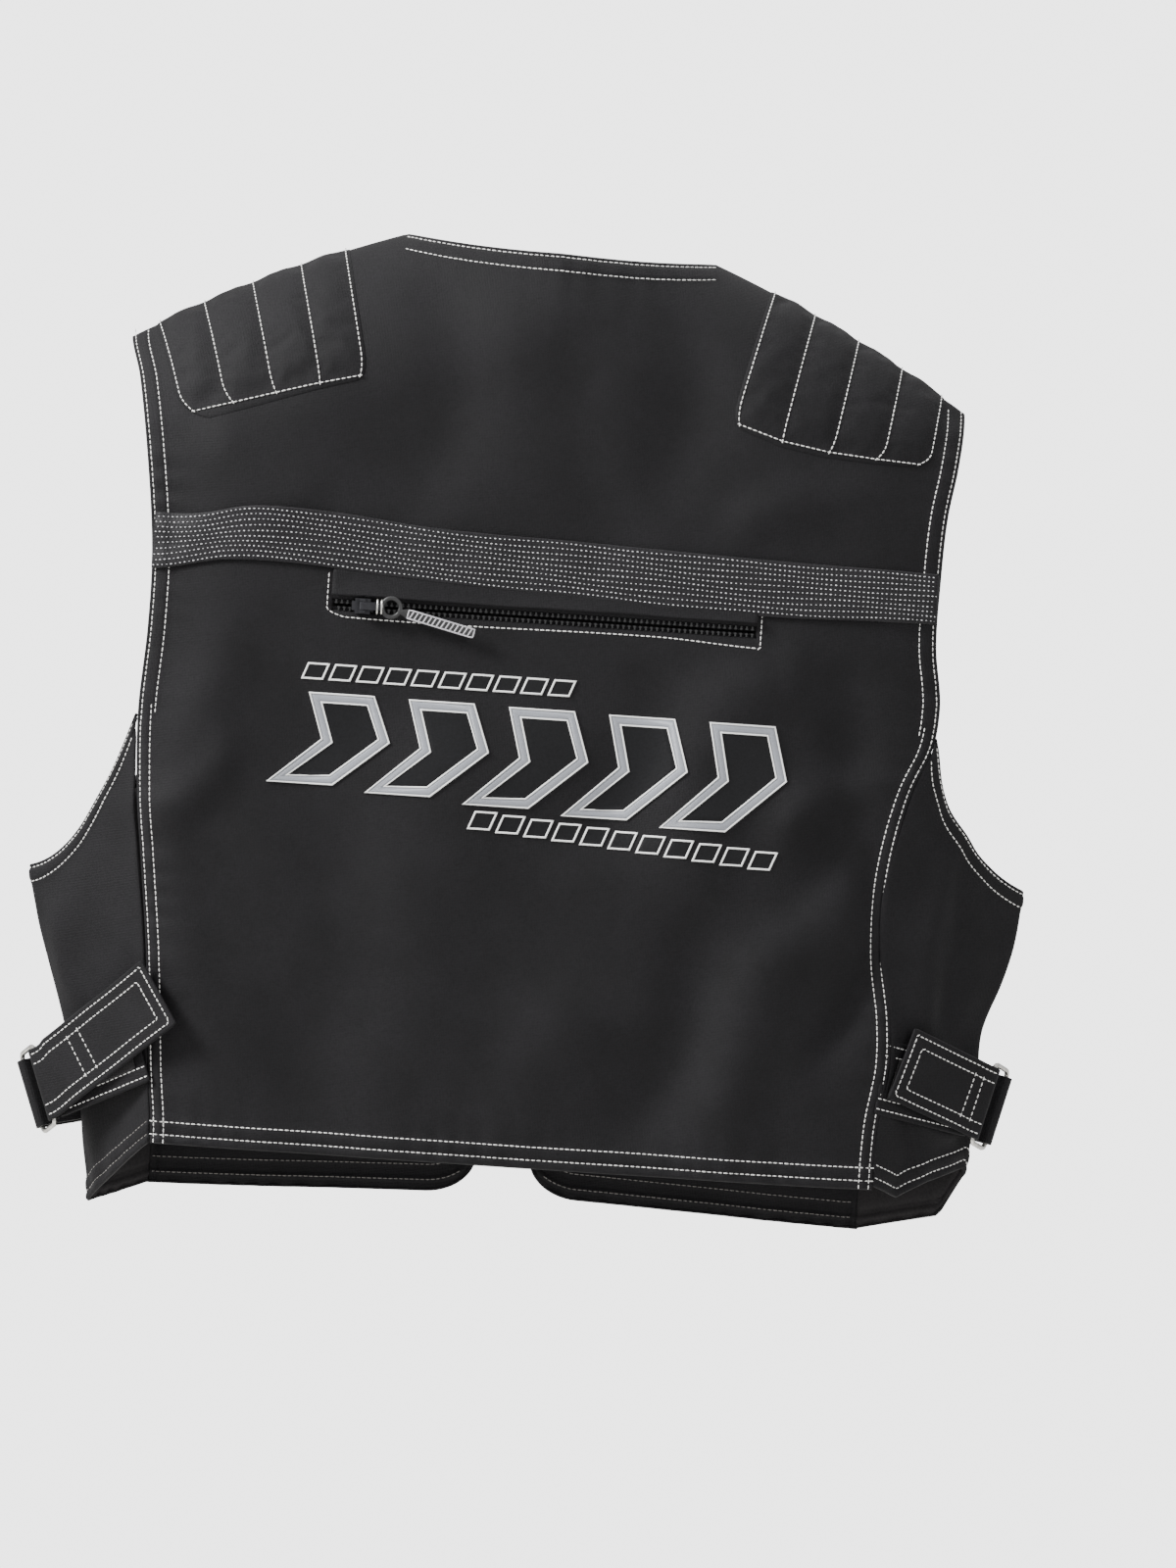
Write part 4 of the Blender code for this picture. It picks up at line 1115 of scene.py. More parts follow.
def makeBand():
    left, right = backEdge("left", -162.0) + 1.0, backEdge("right", -165.0) - 1.0
    x = np.linspace(left, right, 200)[None, :]
    share = np.array([0, 0.02, 0.06, 0.13, 0.25, 0.38, 0.5, 0.62, 0.75, 0.87, 0.94, 0.98, 1.0])
    points = bandPoint(x, share[:, None] * np.ones_like(x))
    out = facing(points, -1)
    ribbon = shell("reflective_band_ribbon", points, band["thickness"], out, reflective)
    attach(ribbon, "vest")
    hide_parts("reflective_band")
    lines = []
    for k in range(band["rows"]):
        along = np.linspace(left + 1 + 0.5 * band["dotPitch"] * (k % 2), right - 1, 260)
        share = (k + 0.6) / (band["rows"] + 0.2)
        wander = 0.012 * np.sin(along / 13.0 + k * 0.8)
        lines.append(bandPoint(along, share + wander, 0.12))
    dots = sew("reflective_band_dots", lines, dotGlass, band["dotPitch"], 1.3, 0.7, 0.35)
    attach(dots, "vest")


makeBand()
print("band made")


# back pocket

def makeFlap():
    x = np.linspace(pocket["left"] + 0.5, pocket["right"] - 0.5, 130)[None, :]
    top, low = pocket["flapTop"], pocket["flapBottom"]
    share = np.array([0, 0.12, 0.25, 0.4, 0.55, 0.68, 0.78, 0.86, 0.92, 0.97, 1.0])[:, None]
    # the free lower edge is scalloped a little where the cloth hangs loose
    edge = low + 0.2 * np.sin(x / 19.0) + 0.1 * np.sin(x / 7.0 + 1.0)
    z = top + (edge - top) * share
    stand = 0.35 + 1.5 * share**2.2 + 0.4 * share**2 * np.sin(x / 15.0 + 0.7)
    points = backPoint(np.broadcast_to(x, z.shape), z, stand + 1.3)
    flap = shell("pocket_flap_cloth", points, pocket["flapThick"], facing(points, -1), nylon)
    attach(flap, "vest")
    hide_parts("pocket_flap")


def nodeBox(name):
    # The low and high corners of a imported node's box, in millimetres.
    return [np.array(corner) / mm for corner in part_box(name)]


tapeThick = 0.7


def makeTapes():
    # Woven tapes behind the mouth of the pocket and behind the fronts' edges.
    for name in ("upper", "lower"):
        low, high = nodeBox(f"pocket_zip_tape_{name}")
        x = np.linspace(low[0], high[0], 90)[None, :]
        z = np.linspace(low[2], high[2], 9)[:, None]
        y = low[1] + 0.1 * np.sin(x / 5.0)
        points = np.stack(np.broadcast_arrays(x, y, z), -1)
        made = shell(f"pocket_zip_tape_cloth_{name}", points, tapeThick, facing(points, -1), tape)
        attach(made, "vest")
        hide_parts(f"pocket_zip_tape_{name}")
    for side in sides:
        low, high = nodeBox(f"front_zip_tape_{side}")
        x = np.linspace(low[0], high[0], 9)[None, :]
        z = np.linspace(low[2], high[2], 150)[:, None]
        y = high[1] - 0.1 + 0.1 * np.sin(z / 6.0)
        points = np.stack(np.broadcast_arrays(x, y, z), -1)
        made = shell(f"front_zip_tape_cloth_{side}", points, tapeThick, facing(points, 1), tape)
        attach(made, "vest")
        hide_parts(f"front_zip_tape_{side}")


# each row's pitch, and a tooth's reach, width and thickness
teeth = {
    "pocket": {"pitch": 2.8, "size": (2.3, 1.9, 1.7), "inset": 1.5, "stagger": 1.4},
    "front": {"pitch": 3.2, "size": (2.9, 2.2, 2.2), "inset": 2.0, "stagger": 1.6},
}


def toothMesh(name, width, height, depth, finish):
    # One moulded tooth: a neck on the tape and a wider rounded head.
    outline = [(0.0, -0.26), (0.52, -0.2), (0.62, -0.42), (0.86, -0.42), (1.0, -0.2),
               (1.0, 0.2), (0.86, 0.42), (0.62, 0.42), (0.52, 0.2), (0.0, 0.26)]
    layers = [(-0.5, 0.8), (-0.32, 1.0), (0.32, 1.0), (0.5, 0.8)]
    points = []
    for level, scale in layers:
        for a, b in outline:
            points.append(((0.5 + (a - 0.5) * scale) * width, b * scale * height, level * depth))
    count = len(outline)
    faces = [tuple(reversed(range(count)))]
    for k in range(len(layers) - 1):
        for i in range(count):
            j = (i + 1) % count
            faces.append((k * count + i, k * count + j, (k + 1) * count + j, (k + 1) * count + i))
    faces.append(tuple(range(3 * count, 4 * count)))
    return meshObject(name, points, faces, finish, False)


def toothTree():
    # Copies of one object along every line of the mesh, turned with the line.
    tree = bpy.data.node_groups.new("zip teeth", "GeometryNodeTree")
    given = groupInputs(
        tree,
        [
            ("Geometry", "NodeSocketGeometry", None),
            ("Pitch", "NodeSocketFloat", 0.003),
            ("Tooth", "NodeSocketObject", None),
            ("Turn", "NodeSocketVector", None),
            ("Finish", "NodeSocketMaterial", None),
        ],
    )
    lines = addNode(tree, "GeometryNodeMeshToCurve", i0=(given, "Geometry"))
    points = addNode(
        tree,
        "GeometryNodeResampleCurve",
        {"mode": "LENGTH"},
        Curve=(lines, 0),
        Length=(given, "Pitch"),
    )
    tooth = addNode(tree, "GeometryNodeObjectInfo", Object=(given, "Tooth"))
    laid = addNode(
        tree,
        "GeometryNodeInstanceOnPoints",
        Points=(points, 0),
        Instance=(tooth, "Geometry"),
        Rotation=(given, "Turn"),
    )
    solid = addNode(tree, "GeometryNodeRealizeInstances", i0=(laid, 0))
    finished = addNode(
        tree, "GeometryNodeSetMaterial", Geometry=(solid, 0), Material=(given, "Finish")
    )
    addNode(tree, "NodeGroupOutput", i0=(finished, 0))
    return tree


zipTeeth = toothTree()


def toothRow(kind, name, start, end, turn):
    # A row of teeth from start to end, in millimetres; turn aims a tooth's head.
    row = teeth[kind]
    name = f"{kind}_teeth_{name}"
    tooth = toothMesh(name + "_tooth", *row["size"], resin)
    values = {"Pitch": row["pitch"] * mm, "Tooth": tooth, "Turn": turn, "Finish": resin}
    made = repeatAlong(name, [(start, end)], zipTeeth, values)
    bpy.data.objects.remove(tooth)
    return made


def makeTeeth():
    # Of two facing rows, the second starts half a pitch on, so that their teeth interlock.
    quarter = math.radians(90)
    inset, stagger = teeth["pocket"]["inset"], teeth["pocket"]["stagger"]
    for name, side in (("upper", 1.0), ("lower", -1.0)):
        node = f"pocket_zip_chain_{name}"
        low, high = nodeBox(node)
        y = (low[1] + high[1]) / 2
        root = high[2] if side > 0 else low[2]
        shift = 0.0 if side > 0 else stagger
        start, end = (low[0] + inset + shift, y, root), (high[0] - inset, y, root)
        row = toothRow("pocket", name, start, end, (quarter, quarter * side, 0))
        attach(row, "vest")
        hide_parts(node)
    inset, stagger = teeth["front"]["inset"], teeth["front"]["stagger"]
    for name, sign in sides.items():
        node = f"front_zip_chain_{name}"
        low, high = nodeBox(node)
        y = (low[1] + high[1]) / 2
        root = high[0] if sign > 0 else low[0]
        shift = 0.0 if sign > 0 else stagger
        start, end = (root, y, low[2] + inset + shift), (root, y, high[2] - inset)
        row = toothRow("front", name, start, end, (0, 0, 2 * quarter if sign > 0 else 0))
        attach(row, "vest")
        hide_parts(node)


def makePocketLines():
    # The sewn rectangle round the pocket's mouth.
    left, right = pocket["left"] - 2.0, pocket["right"] + 2.0
    bottomZ = pocket["zipZ"] - 6.1
    side = [(left, z) for z in np.linspace(-174, bottomZ + 4.1, 20)]
    side = np.array(side + [(left + 3.0, bottomZ + 1.8), (left + 9, bottomZ)])
    x = np.linspace(left + 9, right, 90)
    low = bottomZ + 0.5 * np.sin(x / 30.0) - 1.8 * smooth((x - 60) / 55)
    bottom = np.stack([x, low], -1)
    end = np.array([(right, z) for z in np.linspace(low[-1], -180, 14)])
    path = lineThrough(np.concatenate([side, bottom[1:], end[1:]]), 1.5)
    line = backPoint(path[:, 0], path[:, 1], stitchLift)
    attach(sew("pocket_stitching", [line], thread), "vest")


def tube(name, path, radius, finish, closed=False, around=10, squash=(1.0, 1.0), up=(0, -1, 0)):
    # A round bar along a path, in millimetres, with as many sides as around says.
    path = np.asarray(path, float)
    if closed:
        before, after = np.roll(path, 1, 0), np.roll(path, -1, 0)
    else:
        before = np.vstack([path[:1], path[:-1]])
        after = np.vstack([path[1:], path[-1:]])
    run = after - before
    run /= np.linalg.norm(run, axis=1, keepdims=True)
    up = np.asarray(up, float)
    first = up - run * (run @ up)[:, None]
    first /= np.linalg.norm(first, axis=1, keepdims=True)
    second = np.cross(run, first)
    turns = np.linspace(0, 2 * math.pi, around, endpoint=False)
    rings = (
        path[:, None, :]
        + first[:, None, :] * (np.cos(turns) * radius * squash[0])[None, :, None]
        + second[:, None, :] * (np.sin(turns) * radius * squash[1])[None, :, None]
    )
    count = len(path)
    faces = []
    for i in range(count if closed else count - 1):
        j = (i + 1) % count
        for k in range(around):
            m = (k + 1) % around
            faces.append((i * around + k, i * around + m, j * around + m, j * around + k))
    if not closed:
        faces.append(tuple(range(around)[::-1]))
        faces.append(tuple(range((count - 1) * around, count * around)))
    made = meshObject(name, rings.reshape(-1, 3), faces, finish)
    faceOut(made)
    return made


def faceOut(made):
    work = bmesh.new()
    work.from_mesh(made.data)
    bmesh.ops.recalc_face_normals(work, faces=work.faces)
    if work.calc_volume(signed=True) < 0:
        bmesh.ops.reverse_faces(work, faces=work.faces)
    work.to_mesh(made.data)
    work.free()


def prismPiece(name, outline, place, across, up, out, depth, finish, bevel=0.0):
    # An outline with soft edges, drawn out along a direction; lengths in millimetres.
    across, up, out = (np.array(v, float) / np.linalg.norm(v) for v in (across, up, out))
    near = [np.array(place) + across * a + up * b for a, b in outline]
    far = [p + out * depth for p in near]
    count = len(outline)
    faces = [tuple(range(count)), tuple(range(2 * count - 1, count - 1, -1))]
    for i in range(count):
        j = (i + 1) % count
        faces.append((i, i + count, j + count, j))
    made = meshObject(name, near + far, faces, finish)
    faceOut(made)
    if bevel:
        softEdges(made, bevel)
    return made


def softEdges(made, width):
    modifier = made.modifiers.new("edge", "BEVEL")
    modifier.width = width * mm
    modifier.segments = 2
    modifier.limit_method = "ANGLE"
    modifier.angle_limit = math.radians(32)
    applyAll(made)


def applyAll(made):
    # Makes a piece's modifiers part of its mesh.
    bpy.context.view_layer.update()
    depsgraph = bpy.context.evaluated_depsgraph_get()
    done = bpy.data.meshes.new_from_object(made.evaluated_get(depsgraph))
    made.modifiers.clear()
    old = made.data
    made.data = done
    bpy.data.meshes.remove(old)
    made.data.shade_smooth()
    made.data.set_sharp_from_angle(angle=math.radians(40))


puller = {
    "loopLong": 4.6,
    "loopHigh": 4.9,
    "loopBar": 1.05,
    "clampThick": 1.5,
    "clampHigh": 3.5,
    "clampBar": 0.55,
    "drop": 13.0,  # degrees that the grip hangs down
    "tagLength": 41.0,
    "tagHalf": 2.7,
    "tagThick": 1.5,
    "ribs": 14,
}


def makePuller():
    # Bright clamp, moulded loop and rubber grip of the back pocket's pull.
    low, high = nodeBox("pull_ring")
    middle = (low + high) / 2
    y = middle[1]
    # the loop is a flattened ring drawn out towards the tag
    turns = np.linspace(0, 2 * math.pi, 40, endpoint=False)
    reach = 1 + 0.22 * np.cos(turns)
    loop = np.stack(
        [
            middle[0] + 0.3 + puller["loopLong"] * np.cos(turns),
            y + 0 * turns,
            middle[2] + puller["loopHigh"] * np.sin(turns) * (1.08 - 0.25 * reach) / 0.85,
        ],
        -1,
    )
    ring = tube("pull_loop", loop, puller["loopBar"], rubber, True, 10, (0.8, 1.1))
    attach(ring, "pocket_pull")
    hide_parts("pull_ring")
    # two crimped bands hold the loop to the slider's pull
    a = np.linspace(0, 2 * math.pi, 28, endpoint=False)
    for k, x in enumerate((low[0] - 2.6, low[0] - 0.4)):
        strip = np.stack([x + 0 * a, y + puller["clampThick"] * np.cos(a),
                          middle[2] + puller["clampHigh"] * np.sin(a)], -1)
        clamp = tube(f"pull_clamp_{k + 1}", strip, puller["clampBar"], nickel, True, 8,
                     up=(1, 0, 0))
        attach(clamp, "pocket_pull")
    drop = math.radians(puller["drop"])
    along = np.array([math.cos(drop), 0, -math.sin(drop)])
    across = np.array([math.sin(drop), 0, math.cos(drop)])
    start = np.array([high[0] - 0.8, y + 0.75, middle[2] - 1.4])
    half, length = puller["tagHalf"], puller["tagLength"]
    outline = [(0, -1.3), (2.5, -1.5), (5.5, -half), (length - 1.5, -half), (length, -half + 1.5),
               (length, half - 1.5), (length - 1.5, half), (5.5, half), (2.5, 1.5), (0, 1.3)]
    grip = prismPiece("pull_grip", outline, start, along, across, (0, -1, 0),
                      puller["tagThick"], rubber, 0.4)
    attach(grip, "pocket_pull")
    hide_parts("pull_tag")
    ribs = []
    front = start - np.array([0, puller["tagThick"], 0])
    for k in range(puller["ribs"]):
        a = 7.5 + k * (length - 10.5) / (puller["ribs"] - 1)
        ends = [front + along * (a - 0.5) - across * 1.5, front + along * (a + 0.5) + across * 1.5]
        ribs.append(lineThrough(ends, 0.5))
    rib = sew("pull_grip_ribs", ribs, greyRubber, 0.5, 1.3, 0.85, 0.0)
    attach(rib, "pocket_pull")
    border = [(5.6, -half + 0.5), (length - 0.9, -half + 0.5), (length - 0.9, half - 0.5),
              (5.6, half - 0.5), (5.6, -half + 0.5)]
    path = [front + along * a + across * b for a, b in border]
    rim = tube("pull_grip_rim", lineThrough(path, 2.0), 0.4, greyRubber, False, 8)
    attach(rim, "pocket_pull")


def finishNodes():
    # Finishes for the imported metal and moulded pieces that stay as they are.
    finishes = {
        "pocket_slider": zinc,
        "pocket_pull": zinc,
        "front_slider": zinc,
        "front_pull": zinc,
        "front_zip_box": resin,
        "front_zip_pin": resin,
        "strap_ring_left": nickel,
        "strap_ring_right": nickel,
    }
    for name, finish in finishes.items():
        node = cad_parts[name]
        if not node.material_slots:
            node.data.materials.append(finish)
        for slot in node.material_slots:
            slot.material = finish


greyRubber = mouldedRubber("pvc_puller_grey", "#8E8C90", 0.5)
makeFlap()
makeTapes()
makeTeeth()
makePocketLines()
makePuller()
finishNodes()
print("pocket made")


# side straps

straps = {
    "left": {
        "bar": (-236.687, -12.4, -443.0),
        "axis": (-0.365998, 0.211309, 0.906308),
        "run": (0.784886, -0.453154, 0.422618),
        "out": (-0.5, -0.866025, 0.0),
        "base": 61.5,
        "baseDrop": 1.5,
        "baseSkew": 0.0,
        "tab": 88.0,
        "lift": 12.0,
        "boxes": (27.0, 35.0),
        "hook": (35.0, 68.0),
    },
    "right": {
        "bar": (245.614, -7.397, -421.0),
        "axis": (0.253201, 0.146186, 0.956305),
        "run": (-0.828184, -0.478152, 0.292372),
        "out": (0.5, -0.866025, 0.0),
        "base": 62.0,
        "baseDrop": 7.0,
        "baseSkew": 3.2,
        "tab": 58.0,
        "lift": 2.5,
        "boxes": (7.0, 13.0),
        "hook": (20.0, 50.0),
    },
}
strapHalf = 18.6
strapThick = 1.5
strapStart = 3.6  # where the sewn strap leaves the ring's bar
foldRadius = 3.2  # of the tab's fold round the bar
pileThick = 0.7


def strapPoint(side, t, w, h):
    # A point by its distance from the ring's bar, its place across and its height.
    strap = straps[side]
    t, w, h = np.broadcast_arrays(*(np.asarray(v, float) for v in (t, w, h)))
    return (
        np.array(strap["bar"])
        + t[..., None] * np.array(strap["run"])
        + w[..., None] * np.array(strap["axis"])
        + h[..., None] * np.array(strap["out"])
    )


def baseHeight(t, w):
    return -0.95 + 0.12 * np.sin(t / 6.0 + w / 9.0)


def basePoint(side, share, w, lift=0.0):
    # a point of the sewn strap; share runs from the ring to the slanting back seam
    strap = straps[side]
    share, w = np.broadcast_arrays(np.asarray(share, float), np.asarray(w, float))
    last = strap["base"] + strap["baseSkew"] * (0.55 + w / strapHalf)
    t = strapStart + (last - strapStart) * share
    drop = strap["baseDrop"] * t / strap["base"]
    return strapPoint(side, t, w - drop, baseHeight(t, w) + lift)


def tabPoint(side, s, w, lift=0.0):
    # A point of the tab; s runs along it and is below zero in the fold round the bar.
    strap = straps[side]
    s, w = np.broadcast_arrays(np.asarray(s, float), np.asarray(w, float))
    radius = foldRadius + lift
    arc = math.pi * foldRadius
    turn = np.clip(-s / arc, 0, 1) * math.pi
    flat = np.maximum(s, 0.0)
    under = np.maximum(-s - arc, 0.0)
    curl = 1.6 * (flat / strap["tab"]) ** 2 * (1 + 0.4 * w / strapHalf)
    waves = 0.25 * np.sin(flat / 7.0 + w / 11.0) * smooth(flat / 20)
    h = radius * np.cos(turn) + curl + waves
    t = -radius * np.sin(turn) + flat + under
    angle = math.radians(strap["lift"]) * smooth(flat / 14.0)
    return strapPoint(side, t * np.cos(angle) - w * np.sin(angle) * smooth(flat / 14.0),
                      t * np.sin(angle) + w * np.cos(angle), h)


def strapLines(name, lines, node):
    made = sew(name, lines, thread)
    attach(made, node)


def makeStraps():
    across = np.array([-1, -0.97, -0.9, -0.78, -0.6, -0.35, 0, 0.35, 0.6, 0.78, 0.9, 0.97, 1.0])
    w = across[None, :] * strapHalf
    edge = strapHalf - 2.3
    inner = strapHalf - 7.5
    for side in sides:
        strap = straps[side]
        out = np.array(strap["out"])
        # the strap sewn into the back seam, under the tab
        points = basePoint(side, np.linspace(0, 1, 30)[:, None], w)
        base = shell(f"strap_base_cloth_{side}", points, strapThick, out, nylon)
        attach(base, "vest")
        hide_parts(f"strap_base_{side}")
        t = np.linspace(12, strap["base"] - 5, 24)[:, None]
        drop = -strap["baseDrop"] * t / strap["base"]
        points = strapPoint(side, t, w * 0.55 + drop, 0.1 + 0.05 * np.sin(t * 3) + 0 * w)
        loops = shell(f"strap_loop_cloth_{side}", points, pileThick, out, loopPile)
        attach(loops, "vest")
        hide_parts(f"strap_loop_patch_{side}")
        share = np.linspace(0.03, 0.985, 60)
        lines = [basePoint(side, share, v, stitchLift) for v in (-edge, -inner, inner, edge)]
        strapLines(f"strap_base_stitching_{side}", lines, "vest")
        # the tab, folded round the ring's bar
        fold = np.linspace(-math.pi * foldRadius - 1.5, 0, 16)[:-1]
        s = np.concatenate([fold, np.linspace(0, strap["tab"], 44)])[:, None]
        points = tabPoint(side, s, w)
        around = foldNormals(points, out)
        tab = shell(f"strap_tab_cloth_{side}", points, strapThick, around, nylon)
        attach(tab, f"strap_tab_{side}")
        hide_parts(f"strap_tab_{side}")
        start, end = strap["hook"]
        s = np.linspace(start, end, 20)[:, None]
        points = tabPoint(side, s, w * 0.75, -strapThick - 0.15)
        hooks = shell(f"strap_hook_cloth_{side}", points, pileThick, out, hookPile)
        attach(hooks, f"strap_tab_{side}")
        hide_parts(f"strap_hook_patch_{side}")
        # its stitching: round the edge, then a second line that turns at the free end
        last = strap["tab"] - 2.3
        lines = []
        for first, turn, v in ((1.0, last, edge), (0.5, last - 5.5, inner)):
            path = lineThrough([(first, -v), (turn, -v), (turn, v), (first, v)], 1.5)
            lines.append(tabPoint(side, path[:, 0], path[:, 1], stitchLift))
        for place in strap["boxes"]:
            v = np.linspace(-inner, inner, 16)
            lines.append(tabPoint(side, place + 0 * v, v, stitchLift))
        strapLines(f"strap_tab_stitching_{side}", lines, f"strap_tab_{side}")


def foldNormals(points, out):
    # A direction for each point that is outside the fold of a strap.
    run = np.gradient(points, axis=0)
    across = np.gradient(points, axis=1)
    normal = np.cross(run, across)
    sign = np.sign((normal[-1, 6] * out).sum())
    return normal * sign


def softCopy(name, node, finish, bevel):
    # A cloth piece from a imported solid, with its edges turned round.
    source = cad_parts[node]
    mesh = source.data.copy()
    mesh.transform(source.matrix_world)
    mesh.materials.clear()
    mesh.materials.append(finish)
    made = bpy.data.objects.new(name, mesh)
    bpy.context.scene.collection.objects.link(made)
    softEdges(made, bevel)
    return made


def makeAnchors():
    for side in sides:
        made = softCopy(f"strap_anchor_cloth_{side}", f"strap_anchor_{side}", nylon, 0.5)
        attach(made, "vest")
        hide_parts(f"strap_anchor_{side}")


loopPile = wovenCloth("loop_tape_brushed", "#0A0A0A", "#222122", 0.9, 0.9, 0.2, 1.0)
hookPile = wovenCloth("hook_tape_moulded", "#080808", "#1B1B1C", 1.3, 0.6, 0.02, 1.0)
makeStraps()
makeAnchors()
print("straps made")


# pad and bag inside the back

bag = {"left": -107.0, "right": 114.5, "top": -179.0, "bottom": -415.0, "radius": 14.0,
       "cloth": 0.8}
pad = {"left": -89.0, "right": 97.0, "top": -209.0, "bottom": -401.0, "thickness": 9.0,
       "radius": 26.0}


def cornered(shape, columns, rows):
    # A grid over a rectangle whose corners are round.
    radius = shape["radius"]
    v = np.linspace(0, 1, rows)
    v = 0.5 - 0.5 * np.cos(math.pi * v)
    z = shape["bottom"] + (shape["top"] - shape["bottom"]) * v
    near = np.minimum(z - shape["bottom"], shape["top"] - z)
    inset = radius - np.sqrt(np.maximum(radius**2 - np.maximum(radius - near, 0) ** 2, 0))
    u = np.linspace(0, 1, columns)
    u = 0.5 - 0.5 * np.cos(math.pi * u)
    left = shape["left"] + inset
    right = shape["right"] - inset
    x = left[:, None] + (right - left)[:, None] * u[None, :]
    return x, np.broadcast_to(z[:, None], x.shape)


def slab(name, outer, inner, finish):
    # A closed block between two grids of points; also gives the grid's border, in order.
    rows, columns = outer.shape[:2]
    count = rows * columns
    index = np.arange(count).reshape(rows, columns)
    faces = []
    for i in range(rows - 1):
        for j in range(columns - 1):
            corners = (index[i, j], index[i, j + 1], index[i + 1, j + 1], index[i + 1, j])
            quad = tuple(int(k) for k in corners)
            faces.append(quad)
            faces.append(tuple(k + count for k in quad[::-1]))
    border = [*index[0, :], *index[1:, -1], *index[-1, -2::-1], *index[-2:0:-1, 0]]
    border = [int(k) for k in border]
    for a, b in zip(border, border[1:] + border[:1]):
        faces.append((b, a, a + count, b + count))
    points = np.concatenate([outer.reshape(-1, 3), inner.reshape(-1, 3)])
    made = meshObject(name, points, faces, finish)
    faceOut(made)
    return made, border


def makePad():
    x, z = cornered(pad, 44, 44)
    near = np.minimum.reduce([x - pad["left"], pad["right"] - x, z - pad["bottom"], pad["top"] - z])
    # its outer face rests on the cloth, and its edges are drawn in
    inside = -(vest["cloth"] + 0.7) - 1.2 * (1 - smooth(near / 9.0))
    outer = backPoint(x, z, 0.0)
    outer[..., 1] -= inside
    depth = pad["thickness"] - 2.4 * (1 - smooth(near / 10.0))
    # moulded hollows in a grid lighten the foam
    hollow = np.sin(x / 7.6) * np.sin((z + 6) / 7.6)
    depth = depth - 0.9 * smooth(hollow) * smooth((near - 9) / 6)
    inner = outer.copy()
    inner[..., 1] += depth
    made, _ = slab("back_protector_foam", outer, inner, foam)
    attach(made, "vest")
    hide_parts("back_protector_pad")


def makeBag():
    x, z = cornered(bag, 60, 60)
    near = np.minimum.reduce([x - bag["left"], bag["right"] - x, z - bag["bottom"]])
    deep = smooth(near / 7.0)
    behind = vest["cloth"] + 0.6 + (pad["thickness"] + 1.4) * deep
    points = backPoint(x, z, 0.0)
    points[..., 1] += behind + 0.3 * np.sin(x / 12.0 + z / 19.0) * deep
    made = shell("pocket_bag_cloth", points, bag["cloth"], facing(points, 1), lining)
    # the shell grows inwards from its outer face, so the face is moved out first
    made.data.transform(Matrix.Translation((0, bag["cloth"] * mm, 0)))
    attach(made, "vest")
    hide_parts("pocket_bag")


makePad()
makeBag()
print("pad and bag made")


# quilted shoulders

shoulder = {
    # distances from the middle along the shoulder line and along the lower edge
    "topInner": 109.0,
    "topOuter": {"left": 206.0, "right": 202.0},
    "lowInner": {"left": 92.0, "right": 91.0},
    "lowOuter": {"left": 187.0, "right": 196.0},
    # heights of the lower edge, from its inner end outwards
    "lowZ": {
        "left": (-78.0, -84.0, -90.5, -97.0, -103.0),
        "right": (-84.0, -91.0, -94.0, -94.5, -94.0),
    },
    "frontLow": (-66.0, -75.0, -83.0, -90.0, -96.0),
    "channels": (0.25, 0.5, 0.755),
    "reach": 68.0,  # from the shoulder line down to the lower edge
    "radius": 14.0,
    "puff": 2.2,  # the most that the filling lifts the cloth
    "columns": 49,
    "rows": 61,
}


def shoulderGrid(side, columns, rows):
    # Back and front points of the pad, from its lower edge at the back over to the front.
    sign = sides[side]
    u = np.linspace(0, 1, columns)
    v = np.linspace(-1, 1, rows)
    v = np.sign(v) * np.abs(v) ** 1.25
    points = np.zeros((rows, columns, 3))
    for i, place in enumerate(v):
        down = abs(place)
        lowInner, lowOuter = shoulder["lowInner"][side], shoulder["lowOuter"][side]
        inner = shoulder["topInner"] + (lowInner - shoulder["topInner"]) * down
        topOuter = shoulder["topOuter"][side]
        outer = topOuter + (lowOuter - topOuter) * down
        left = (1 - down) * shoulder["reach"]
        radius = shoulder["radius"]
        inset = radius - math.sqrt(max(radius**2 - max(radius - left, 0) ** 2, 0))
        x = inner + 0.45 * inset + (outer - inner - 1.45 * inset) * u
        ridge = ridgeZ(x) - 0.6
        low = shoulder["lowZ"][side] if place < 0 else shoulder["frontLow"]
        lowest = np.interp(u, np.linspace(0, 1, len(low)), low)
        z = ridge + (lowest - ridge) * down
        if place < 0:
            points[i] = backPoint(sign * x, z)
        elif place > 0:
            points[i] = frontPoint(side, sign * x, z)
        else:
            points[i] = drape(np.stack([sign * x, 0 * x, ridge + 0.8], -1))
    return points, v


